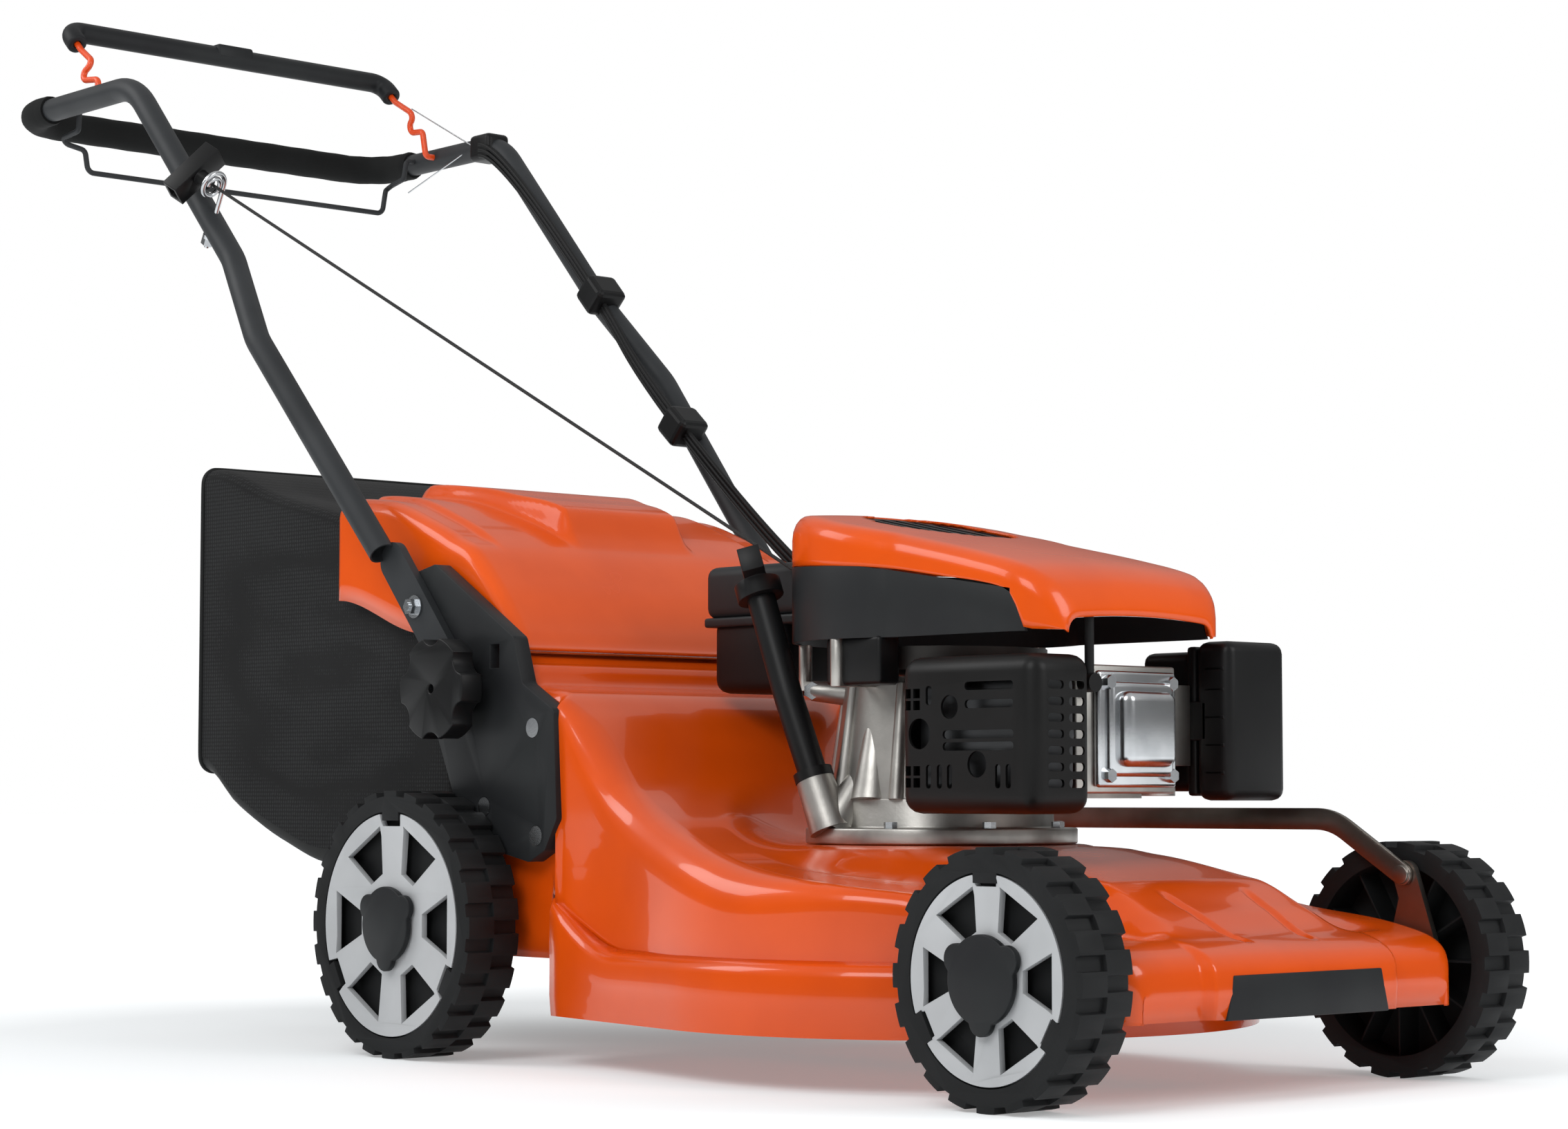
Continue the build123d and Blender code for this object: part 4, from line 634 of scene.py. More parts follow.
def post(start: Place, end: Place, radius: float, sides: int = 32, top: Optional[float] = None) -> Mesh:
    """Makes a round or many-sided bar, or a cone, between two places.

    Args:
        start: Middle of its first end, in millimetres.
        end: Middle of its other end.
        radius: Radius of its first end.
        sides: Number of its sides.
        top: Radius of its other end, where that differs.

    Returns:
        The bar.
    """
    first, last = at(*start), at(*end)
    bpy.ops.mesh.primitive_cone_add(
        vertices=sides,
        radius1=radius / 1000,
        radius2=(radius if top is None else top) / 1000,
        depth=(last - first).length,
        location=(first + last) / 2,
        rotation=(last - first).to_track_quat("Z", "Y").to_euler(),
    )
    piece = bpy.context.object
    bpy.ops.object.transform_apply(location=True, rotation=True, scale=True)
    shade(35)
    return piece


def carve(piece: Mesh, cutters: Sequence[Mesh]) -> None:
    """Cuts pieces out of another and throws them away.

    Args:
        piece: The piece that is cut.
        cutters: What is cut out of it.
    """
    tool = join(cutters)
    modify(piece, "BOOLEAN", operation="DIFFERENCE", solver="EXACT", object=tool)
    bpy.data.objects.remove(tool, do_unlink=True)


def round_edges(piece: Mesh, width: float, segments: int, degrees: float) -> None:
    """Rounds the edges of a piece that are sharper than an angle.

    Args:
        piece: The piece.
        width: Width of the rounded edges, in millimetres.
        segments: Steps of each rounding.
        degrees: The angle.
    """
    modify(
        piece,
        "BEVEL",
        width=width / 1000,
        segments=segments,
        limit_method="ANGLE",
        angle_limit=math.radians(degrees),
        use_clamp_overlap=True,
    )


BODY_OF = {node: body for body, nodes in frame["record"]["behaviour"]["bodies"].items() for node in nodes}


def soften(node: str, width: float, segments: int = 2) -> Mesh:
    """Rounds the edges of a CAD node on a copy that stands in for it.

    Args:
        node: The node's name.
        width: Width of the rounded edges, in millimetres.
        segments: Steps of each rounding.

    Returns:
        The rounded copy.
    """
    source = frame["nodes"][node]
    piece = source.copy()
    piece.data = source.data.copy()
    piece.parent = None
    piece.animation_data_clear()
    bpy.context.scene.collection.objects.link(piece)
    pick(piece)
    bpy.ops.object.mode_set(mode="EDIT")
    bpy.ops.mesh.select_all(action="SELECT")
    bpy.ops.mesh.remove_doubles(threshold=0.00002)
    bpy.ops.mesh.dissolve_limited(angle_limit=math.radians(2))
    bpy.ops.object.mode_set(mode="OBJECT")
    round_edges(piece, width, segments, 36)
    shade(42)
    dress(piece, PALETTE.of_node(node), f"{node}_rounded", BODY_OF[node], node)
    return piece


def arch(
    half: float,
    low: float,
    corner: float,
    top: Callable[[float], float],
    across: int,
    walls: Sequence[float],
) -> list[Pair]:
    """Works out one cross-section of a shell: up a wall, over the top and down again.

    Args:
        half: Half its width.
        low: Height of the wall's lower edge.
        corner: Radius of the edge between wall and top.
        top: Height of the top at a distance from the middle.
        across: Points over half of the top.
        walls: Places of the wall's points, as shares of its height.

    Returns:
        Pairs of side place and height, from right to left.
    """
    inner = half - corner
    rim = top(inner)
    floor = min(low, rim - corner)
    side = [(half, floor + (rim - corner - floor) * share) for share in walls]
    turn = [
        (inner + corner * math.cos(math.radians(a)), rim - corner + corner * math.sin(math.radians(a)))
        for a in (18, 36, 54, 72)
    ]
    crown = [(y, top(y)) for y in spread(inner, 0.0, across)]
    left = side + turn + crown
    return [(-y, z) for y, z in left] + left[-2::-1]


@dataclass
class Deck:
    """The pressed steel deck: a sweeping upper body over a round skirt."""

    across: int = 84
    wall_points: int = 9
    skirt_r: float = 280.0
    upper_r: float = 268.0
    rear_half: float = 218.0
    nose_half: float = 206.0
    nose_corner: float = 22.0
    nose_x: float = 90.0
    rear_x: float = -760.0
    plateau_r: float = 124.0
    plateau_z: float = 199.4
    ledge_z: float = 108.0
    ledge_rise: float = 52.0
    skirt_low: float = 45.0
    skirt_back: float = -600.0
    ledge_drop: float = 14.0
    nose_low: float = 67.0
    rear_low: float = 95.0
    hump_foot: float = 132.0
    hump_fall: float = 38.0
    plateau_foot: float = 196.0
    wall: float = 2.5
    corner: float = 13.0
    sweep_corner: float = 20.0
    rib: float = 8.0
    nose_step: float = 8.0
    step_y: float = 112.0
    shield_half: float = 42.0
    groove: float = 3.5
    valley: float = 7.0
    chute_half: float = 165.0
    chute_low: float = 165.0
    chute_high: float = 330.0
    channel_y: float = 203.0
    channel_z: float = 186.0
    channel_back_z: float = 118.0
    channel_top: float = 245.0
    channel_front: float = -320.0
    channel_foot: float = 14.0
    channel_step: float = -655.0
    rim_line: tuple[Pair, ...] = (
        (-760, 362), (-690, 362), (-682, 378), (-667, 378), (-657, 366), (-648, 362), (-640, 345),
        (-600, 336), (-575, 318), (-505, 250), (-418, 213), (-305, 181), (-156, 162), (-62, 146),
        (4, 138), (40, 131), (62, 126), (78, 119), (86, 111), (89, 102), (90, 84),
    )
    hump_line: tuple[Pair, ...] = ((-230, 0), (-190, 28), (-110, 31), (-46, 29), (4, 13), (50, 0))

    def half_width(self, x: float) -> float:
        """Returns half the width of the upper body at a station."""
        if x <= CRANK_X:
            flank = self.rear_half + 11 * ease((x + 598) / 20)
            flank += self.rib * max(0.0, 1 - abs(x + 590) / 9)
            return flank + (self.upper_r - self.rear_half - 11) * ease((x + 560) / 233)
        bulge = math.sqrt(max(0.0, self.upper_r**2 - (x - CRANK_X) ** 2))
        flank = max(self.nose_half, bulge)
        into = x - (self.nose_x - self.nose_corner)
        if into > 0:
            flank -= self.nose_corner - math.sqrt(max(0.0, self.nose_corner**2 - into**2))
        return flank

    def rounding(self, x: float) -> float:
        """Returns the radius between the deck's top and its side at a station."""
        return self.corner + self.sweep_corner * ease((x + 600) / 50) * ease((-180 - x) / 150)

    def step_back(self, x: float, y: float) -> float:
        """Returns the station of a place on the nose, whose corners stand behind its middle."""
        return x - self.nose_step * ease((abs(y) - self.step_y) / 9) * ease((x - 30) / 50)

    def relief(self, x: float, y: float) -> float:
        """Returns the depth of the nose's pressings: a valley on each side and a groove round its shield."""
        side = abs(y)
        hollow = math.exp(-(((side - 130) / 22) ** 2)) * ease((x + 210) / 60) * ease((50 - x) / 30)
        line = self.shield_half + (50 - x) * 0.14
        ring = ease((6 - abs(side - line)) / 4) * ease((x + 24) / 12) * ease((62 - x) / 8)
        return self.valley * hollow + self.groove * ring

    def ledge(self, x: float) -> float:
        """Returns the height of the ledge between skirt and upper body."""
        return self.ledge_z + self.ledge_rise * max(0.0, (-485 - x) / 115) ** 1.7

    def low_edge(self, x: float) -> float:
        """Returns the height of the upper body's lower edge."""
        if x > -120:
            return self.nose_low
        if x < -610:
            return self.rear_low
        return self.ledge(x) - 12

    def top(self, x: float, y: float) -> float:
        """Returns the height of the deck's top.

        Args:
            x: Station.
            y: Distance from the mid-plane.

        Returns:
            The height, with the front hump and the flat under the engine.
        """
        rim = along(self.rim_line, x)
        hump = along(self.hump_line, x) * ease((self.hump_foot - abs(y)) / self.hump_fall)
        reach = math.hypot(x - CRANK_X, y)
        flat = ease((self.plateau_foot - reach) / (self.plateau_foot - self.plateau_r))
        return (rim + hump - self.relief(x, y)) * (1 - flat) + self.plateau_z * flat

    def section(self, x: float) -> list[Place]:
        """Works out the upper body's section at a station, with the height link's channel in its left wall.

        Args:
            x: Station.

        Returns:
            Places from the right lower edge over the top to the left one.
        """
        low = self.low_edge(x)
        corner = self.rounding(x)
        walls = spread(0, 1, self.wall_points)
        pairs = arch(self.half_width(x), low, corner, lambda y: self.top(x, y), self.across, walls)
        if x < self.channel_front:
            half, high = pairs[-self.wall_points]
            base = self.channel_back_z if x < self.channel_step else self.channel_z
            edge = self.channel_top if along(self.rim_line, x) > self.channel_top + corner + 2 else high + 400
            lift = min(edge, high)
            heights = [high, (high + lift) / 2, lift + 0.02, lift - 0.02, (lift + base) / 2]
            heights += [base + 0.02, base, (base + low) / 2, low]
            if high > base:
                pairs = pairs[: -self.wall_points] + [(half, z) for z in heights]
            shelf = self.top(x, self.channel_y)
            sunk = [i for i, (y, z) in enumerate(pairs) if y > self.channel_y and base < z < edge]
            for i in sunk:
                level = min(pairs[i][1], shelf)
                pairs[i] = (self.channel_y, level if level > base + self.channel_foot else base + 0.02)
        return [(self.step_back(x, y), y, z) for y, z in pairs]

    def build(self) -> None:
        """Builds the upper body, the skirt and the rear wall, and stands them in for the CAD deck."""
        stations = spread(self.rear_x, -660, 8) + [self.channel_step - 0.5, self.channel_step + 0.5]
        stations += spread(-650, -560, 34) + spread(-550, -325, 28)
        stations += [self.channel_front - 0.5, self.channel_front + 0.5]
        stations += spread(-312, -100, 28) + spread(-94, 76, 38) + [79, 81, 83, 85, 87, 88.4, 89.4]
        rows = [[at(*p) for p in self.section(x)] for x in stations]
        nose = self.section(89.4)
        for x, ceiling in ((self.nose_x, 88.0), (self.nose_x - 2, 68.0)):
            rows.append([at(self.step_back(x, y), y, min(z, ceiling)) for _, y, z in nose])
        body = drape(rows[::-1])
        skirt = self.skirt()
        rear = self.section(self.rear_x)
        wall = drape([[at(*p) for p in rear], [at(*self.to_chute(p)) for p in rear]])
        sill = self.rear_half - 2
        strip = drape([
            [at(self.rear_x, y, self.chute_low) for y in (-self.chute_half, self.chute_half)],
            [at(self.rear_x, y, self.rear_low) for y in (-sill, sill)],
        ])
        for piece in (body, skirt, wall, strip):
            modify(piece, "SOLIDIFY", thickness=self.wall / 1000, offset=-1)
        shell = join([body, skirt, wall, strip])
        dress(shell, ORANGE_ENAMEL, "deck_shell", "chassis", "deck")

    def to_chute(self, place: Place) -> Place:
        """Moves a place on the rear edge in to the rim of the discharge opening."""
        x, y, z = place
        return (
            x,
            max(-self.chute_half, min(self.chute_half, y)),
            max(self.chute_low, min(self.chute_high, z)),
        )

    def skirt_outline(self, draw_in: float) -> list[Pair]:
        """Works out the skirt's plan.

        Args:
            draw_in: How far the outline is drawn in.

        Returns:
            Pairs round the skirt, the first repeated at the end.
        """
        radius = self.skirt_r - draw_in
        corner = (-590 + draw_in, 236 - draw_in)
        turns = spread(0, math.radians(98), 40)
        sweep = [(CRANK_X + radius * math.cos(a), radius * math.sin(a)) for a in turns]
        last = sweep[-1]
        flank = [
            (last[0] + (corner[0] - last[0]) * t, last[1] + (corner[1] - last[1]) * t)
            for t in spread(0.08, 1.0, 12)
        ]
        back = [(self.skirt_back + draw_in, y) for y in (226 - draw_in, 110, 0)]
        left = sweep + flank + back
        return left + [(x, -y) for x, y in left[-2::-1]]

    def skirt(self) -> Mesh:
        """Builds the skirt with its rolled lower edge and the ledge at its top.

        Returns:
            The skirt's skin.
        """
        rows = []
        below = ((4, -1.0), (1, -1.0), (0, -0.8), (0, -0.4))
        above = ((0, 0.0), (1, 0.3), (4, 0.6), (13, 1.0))
        for draw_in, lift in below + above:
            row = []
            for x, y in self.skirt_outline(draw_in):
                brim = self.ledge(x) - self.ledge_drop
                low = self.skirt_low + (2 if draw_in == 4 and lift < 0 else 0)
                z = brim + (brim - low if lift < 0 else self.ledge_drop) * lift
                row.append(at(x, y, max(z, low)))
            rows.append(row[::-1])
        return drape(rows[::-1])


@dataclass
class RearFlap:
    """The lifting flap behind the deck, with its hump."""

    half: float = 215.0
    corner: float = 16.0
    wall: float = 2.5
    top_line: tuple[Pair, ...] = (
        (-956, 538), (-948, 541), (-890, 536), (-823, 515), (-753, 482), (-709, 442),
        (-672, 396), (-656, 379),
    )
    skirt_line: tuple[Pair, ...] = ((-958, 435), (-835, 400), (-740, 386), (-660, 372))
    hump_line: tuple[Pair, ...] = (
        (-956, 15), (-900, 15), (-850, 18), (-805, 25), (-782, 27), (-764, 6), (-752, 0), (-656, 0),
    )
    hump_rear: float = 114.0
    hump_front: float = 74.0
    shoulder_y: float = 168.0
    shoulder: float = 5.0

    def top(self, x: float, y: float) -> float:
        """Returns the flap's height at a station and a distance from the middle."""
        half = self.hump_rear + (self.hump_front - self.hump_rear) * ease((x + 956) / 200)
        lift = along(self.hump_line, x) * ease((half + 7 - abs(y)) / 14)
        fall = self.shoulder * ease((abs(y) - self.shoulder_y) / 9) * ease((-740 - x) / 40)
        return along(self.top_line, x) + lift - fall

    def build(self) -> None:
        """Builds the flap's shell and stands it in for the CAD flap."""
        rows = []
        for x in spread(-956, -656, 100):
            low = along(self.skirt_line, x)
            corner = min(self.corner, max(3.0, along(self.top_line, x) - low - 2))
            section = arch(self.half, low, corner, lambda y: self.top(x, y), 96, spread(0, 1, 6))
            rows.append([at(x, y, z) for y, z in section])
        shell = drape(rows[::-1])
        modify(shell, "SOLIDIFY", thickness=self.wall / 1000, offset=-1)
        dress(shell, ORANGE_ABS, "rear_flap_shell", "rear_flap", "rear_flap")


@dataclass
class EngineCowl:
    """The orange cover over the engine's fan."""

    rear_r: float = 133.0
    side_half: float = 119.0
    front_half: float = 106.0
    front_x: float = -86.0
    wall: float = 2.5
    grille_r: float = 70.0
    corner: float = 17.0
    crown: float = 5.0
    front_round: float = 20.0
    top_line: tuple[Pair, ...] = (
        (-459, 452), (-450, 466), (-430, 484), (-395, 495), (-330, 484), (-250, 468),
        (-170, 451), (-125, 439), (-100, 424), (-88, 402), (-86, 392),
    )
    low_line: tuple[Pair, ...] = (
        (-460, 447), (-297, 440), (-200, 427), (-150, 419), (-128, 412), (-118, 396), (-112, 380), (-86, 379),
    )

    def half_width(self, x: float) -> float:
        """Returns half the cowl's width at a station."""
        rear = math.sqrt(max(1.0, self.rear_r**2 - (x - CRANK_X) ** 2))
        if x < CRANK_X:
            return rear
        flank = self.side_half + (self.front_half - self.side_half) * ease((x + 126) / 40)
        flank = max(flank, rear)
        into = x - (self.front_x - self.front_round)
        if into > 0:
            flank -= self.front_round - math.sqrt(max(0.0, self.front_round**2 - into**2))
        return flank

    def build(self) -> None:
        """Builds the cowl with its round opening over the fan."""
        rows = []
        for x in spread(-459, -440, 8) + spread(-436, -100, 52) + [-97, -94, -91, -89, -87.5, -86.4]:
            half = self.half_width(x)
            peak = along(self.top_line, x)
            low = along(self.low_line, x)
            corner = max(2.0, min(self.corner, half * 0.45, peak - low - 1))
            crown = self.crown * min(1.0, half / 100)
            section = arch(half, low, corner, lambda y: peak - crown * (y / half) ** 2, 24, spread(0, 1, 6))
            rows.append([at(x, y, z) for y, z in section])
        shell = drape(rows[::-1])
        self.open_fan(shell)
        modify(shell, "SOLIDIFY", thickness=self.wall / 1000, offset=-1)
        dress(shell, ORANGE_ABS, "engine_cowl_shell", "chassis", "engine_cowl")

    def open_fan(self, shell: Mesh) -> None:
        """Deletes the faces over the starter grille.

        Args:
            shell: The cowl's skin.
        """
        pick(shell)
        bpy.ops.object.mode_set(mode="EDIT")
        bpy.ops.mesh.select_mode(type="FACE")
        bpy.ops.mesh.select_all(action="DESELECT")
        bpy.ops.object.mode_set(mode="OBJECT")
        centre = at(CRANK_X, 0, 0)
        for face in shell.data.polygons:
            reach = math.hypot(face.center.x - centre.x, face.center.y - centre.y)
            face.select = reach < self.grille_r / 1000 and face.normal.z > 0.7
        bpy.ops.object.mode_set(mode="EDIT")
        bpy.ops.mesh.delete(type="FACE")
        bpy.ops.object.mode_set(mode="OBJECT")


@dataclass
class GrassBag:
    """The mesh bag: soft walls that sag between their seams, over a coated floor."""

    half: float = 204.0
    mouth_x: float = -776.0
    rear_x: float = -1222.0
    sag: float = 7.0
    corner: float = 16.0
    cloth: float = 1.2
    piping_r: float = 2.6
    coat_rise: float = 26.0
    top_line: tuple[Pair, ...] = (
        (-1222, 586), (-1100, 552), (-976, 522), (-900, 496), (-840, 458), (-776, 422),
    )
    floor_line: tuple[Pair, ...] = ((-1222, 268), (-1160, 230), (-1080, 196), (-995, 174), (-776, 171))

    def section(self, x: float) -> list[Place]:
        """Works out the bag's loop at a station.

        Args:
            x: The station.

        Returns:
            Places round the bag, the first repeated at the end.
        """
        high = along(self.top_line, x)
        low = along(self.floor_line, x)
        share = (x - self.rear_x) / (self.mouth_x - self.rear_x)
        slack = self.sag * math.sin(math.pi * share)
        loop: list[Pair] = []
        corners = ((1, 1), (-1, 1), (-1, -1), (1, -1))
        for side, (cy, cz) in enumerate(corners):
            for a in spread(side * 90, side * 90 + 90, 5):
                angle = math.radians(a)
                y = cy * (self.half - self.corner) + self.corner * math.cos(angle)
                z = (high if cz > 0 else low) - cz * self.corner + self.corner * math.sin(angle)
                loop.append((y, z))
            from_y, from_z = loop[-1]
            next_y, next_z = corners[(side + 1) % 4]
            level = side in (0, 2)
            goal_y = next_y * (self.half - self.corner) if level else from_y
            goal_z = from_z if level else (high if next_z > 0 else low) - next_z * self.corner
            for t in spread(0, 1, 12)[1:-1]:
                y = from_y + (goal_y - from_y) * t
                z = from_z + (goal_z - from_z) * t
                droop = slack * math.sin(math.pi * t)
                fold = 0.22 * slack * math.sin(7 * math.pi * t + 9 * share)
                if side == 0:
                    z -= droop + fold
                elif not level:
                    y -= math.copysign(droop * 0.8 + fold, y)
                loop.append((y, z))
        loop.append(loop[0])
        return [(x, y, z) for y, z in loop]

    def build(self) -> None:
        """Builds the soft shell and its seams, and stands it in for the CAD bag."""
        rows = [[at(*p) for p in self.section(x)] for x in spread(self.mouth_x, self.rear_x, 34)]
        middle = self.section(self.rear_x)
        centre_z = sum(p[2] for p in middle) / len(middle)
        for share in (0.985, 0.9, 0.6, 0.3, 0.0):
            push = -2.5 * (1 - share)
            rows.append([at(x + push, y * share, centre_z + (z - centre_z) * share) for x, y, z in middle])
        shell = drape(rows[::-1])
        modify(shell, "SOLIDIFY", thickness=self.cloth / 1000, offset=-1)
        PALETTE.paint(shell, BAG_MESH)
        self.coat_floor(shell)
        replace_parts(settle(shell, "bag_cloth", "grass_bag"), "bag_fabric")
        self.seams()

    def coat_floor(self, shell: Mesh) -> None:
        """Gives the bag's floor its closed, coated cloth."""
        floor = BAG_PANEL.build()
        shell.data.materials.append(floor)
        for face in shell.data.polygons:
            x = (face.center.x - AXLE_X) * 1000
            if face.center.z * 1000 < along(self.floor_line, x) + self.coat_rise:
                face.material_index = 1

    def seams(self) -> None:
        """Sews a piping round the rear panel."""
        rear = self.section(self.rear_x)
        piping = tube([at(x - 1, y, z) for x, y, z in rear], self.piping_r)
        dress(piping, BAG_PANEL, "bag_piping", "grass_bag")


@dataclass
class Handle:
    """Soft and flexible pieces on the handle: foam, cables and starter rope."""

    grip_x: float = -1549.0
    side_y: float = 245.5
    grip_z: float = 1001.0
    corner: float = 52.0
    foam_r: float = 16.6
    tube_r: float = 12.9
    foam_tail: float = 22.0
    cable_r: float = 2.6
    cable_step: float = 6.5
    cable_count: int = 3
    fold_low: Place = (-660.0, 226.0, 404.0)
    fold_high: Place = (-900.0, 227.0, 580.0)
    taut_steps: int = 40
    rope_r: float = 1.7
    rope_exit: Place = (-436.0, -50.0, 433.0)
    guide_centre: Place = (-1122.27, -259.98, 867.25)
    clip_places: tuple[tuple[Place, float], ...] = (((-1106, 238, 801), 46), ((-964, 238, 642), 41))
    clip_size: Place = (36.0, 40.0, 34.0)
    box_low: Place = (-1342.0, 228.0, 984.0)
    box_high: Place = (-1304.0, 260.5, 1015.0)
    cable_start: Place = (-1340.0, 234.0, 1003.0)
    inner_r: float = 0.8
    stop_end: Place = (-1462.0, 233.0, 1066.0)
    drive_end: Place = (-1472.0, 236.0, 966.0)
    pad_low: Place = (-1508.0, -24.0, 1096.0)
    pad_high: Place = (-1486.0, 24.0, 1112.0)

    def foam_path(self) -> list[Vector]:
        """Returns the grip's middle line, with round corners."""
        reach = self.grip_x + self.corner
        tail = reach + self.foam_tail
        bend = [
            (reach - self.corner * math.sin(a), self.side_y - self.corner + self.corner * math.cos(a))
            for a in spread(0, math.pi / 2, 12)
        ]
        left = [(x, self.side_y) for x in spread(tail, reach, 5)[:-1]] + bend
        run = [(self.grip_x, y) for y in spread(self.side_y - self.corner, 0, 16)[1:]]
        half = left + run
        return [at(x, y, self.grip_z) for x, y in half + [(x, -y) for x, y in half[-2::-1]]]

    def foam(self) -> None:
        """Builds the foam sleeve with its rounded ends."""
        path = self.foam_path()
        rows = []
        for i, place in enumerate(path):
            ahead = path[min(i + 1, len(path) - 1)] - path[max(i - 1, 0)]
            side = ahead.cross(Vector((0, 0, 1))).normalized()
            ripple = 0.25 * math.sin(i * 1.7)
            trim = 1.4 if i in (0, len(path) - 1) else 0
            rows.append(self.ring(place, side, self.foam_r + ripple - trim))
        for end, place in ((0, path[0]), (-1, path[-1])):
            step = path[1] - path[0] if end == 0 else path[-1] - path[-2]
            side = step.cross(Vector((0, 0, 1))).normalized()
            ring = self.ring(place, side, self.tube_r)
            rows = [ring] + rows if end == 0 else rows + [ring]
        sleeve = drape(rows)
        pick(sleeve)
        bpy.ops.object.mode_set(mode="EDIT")
        bpy.ops.mesh.select_all(action="SELECT")
        bpy.ops.mesh.normals_make_consistent(inside=False)
        bpy.ops.object.mode_set(mode="OBJECT")
        PALETTE.paint(sleeve, BLACK_FOAM)
        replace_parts(settle(sleeve, "foam_sleeve", "handle"), "foam_grip")

    def ring(self, place: Vector, side: Vector, radius: float) -> list[Vector]:
        """Returns a ring of points round the grip's line."""
        up = Vector((0, 0, 1))
        turns = spread(0, 2 * math.pi, 25)
        return [place + (side * math.cos(a) + up * math.sin(a)) * (radius / 1000) for a in turns]

    def cable_route(self, index: int) -> list[Place]:
        """Lists a cable's route, from the box on the handle to its lower end.

        Args:
            index: Which of the cables, from the lowest.

        Returns:
            The route's points.
        """
        rise = self.cable_step * index
        route = [
            (-1322, 229, 989 + rise), (-1295, 230, 989 + rise), (-1102, 232, 791 + rise),
            (-1021, 232, 686 + rise), (-780, 227, 476 + rise), (-652, 226, 404 + rise),
        ]
        if index == 0:
            return route + [(-600, 176, 372), (-572, 160, 318)]
        return route + [(-560, 168, 386 + rise), (-482, 132, 398 + rise), (-444, 72, 404 + rise)]

    def cables(self) -> None:
        """Builds the control cables along their routes."""
        for index in range(self.cable_count):
            route = [at(*p) for p in self.cable_route(index)]
            cable = tube(route, self.cable_r, resolution=12)
            dress(cable, CABLE_SHEATH, f"control_cable_{index + 1}")
            tuple(at(*self.fold_low))
            tuple(at(*self.fold_high))
            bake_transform(cable)
            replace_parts(cable, "control_cables")
            declare_cord(line_points(route), self.cable_r)

    def taut(self, name: str, start: Vector, end: Vector, radius: float, finish: Finish) -> Mesh:
        """Args:
            name: The piece's name.
            start: Where the cord comes out.
            end: Where it is held.
            radius: The cord's radius, in mm.
            finish: What it is made of.

        Returns:
            The settled piece.
        """
        line = tube([start, end], radius, order=2, resolution=self.taut_steps)
        dress(line, finish, name)
        declare_cord(line_points([start, end], 2, self.taut_steps), radius)
        return line

    def rope(self) -> None:
        """Builds the starter rope, taut from the engine to its guide."""
        start = at(*self.rope_exit)
        end = at(*self.guide_centre)
        line = self.taut("starter_rope_line", start, end, self.rope_r, ROPE_NYLON)
        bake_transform(line)
        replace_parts(line, "starter_rope")
        out = (end - start).normalized()
        tail = tube([end + out * t for t in spread(-0.004, 0.012, 9)], self.rope_r, order=2, resolution=1)
        dress(tail, ROPE_NYLON, "starter_rope_end")
        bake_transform(tail)
        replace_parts(tail, "starter_rope_tail")

    def clips(self) -> None:
        """Builds the two clips that hold the cables to the bar, and the box where they start."""
        blocks = []
        for place, slope in self.clip_places:
            bpy.ops.mesh.primitive_cube_add(size=1, location=at(*place), rotation=(0, math.radians(slope), 0))
            block = bpy.context.object
            block.scale = Vector(self.clip_size) / 1000
            bpy.ops.object.transform_apply(location=True, rotation=True, scale=True)
            modify(block, "BEVEL", width=0.006, segments=3, limit_method="NONE")
            blocks.append(block)
        clips = join(blocks)
        dress(clips, BLACK_PLASTIC, "cable_clip_pair", "handle", "cable_clips")
        box = slab(self.box_low, self.box_high, 6, 4)
        dress(box, BLACK_PLASTIC, "cable_box", "handle", "cable_bracket")

    def bail_cables(self) -> None:
        """Builds the bare inner cables from the box to the two bails, and the pad on the upper bail."""
        start = at(*self.cable_start)
        for name, body, place in (
            ("stop_cable", "stop_bail", self.stop_end),
            ("drive_cable", "drive_bail", self.drive_end),
        ):
            end = at(*place)
            line = self.taut(name, start, end, self.inner_r, ZINC_PLATE)
            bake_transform(line)
        pad = slab(self.pad_low, self.pad_high, 3.5, 3)
        dress(pad, GRAPHITE_PLASTIC, "bail_pad", "stop_bail")

    def build(self) -> None:
        """Builds the soft and flexible pieces."""
        self.foam()
        self.cables()
        self.rope()
        self.clips()
        self.bail_cables()


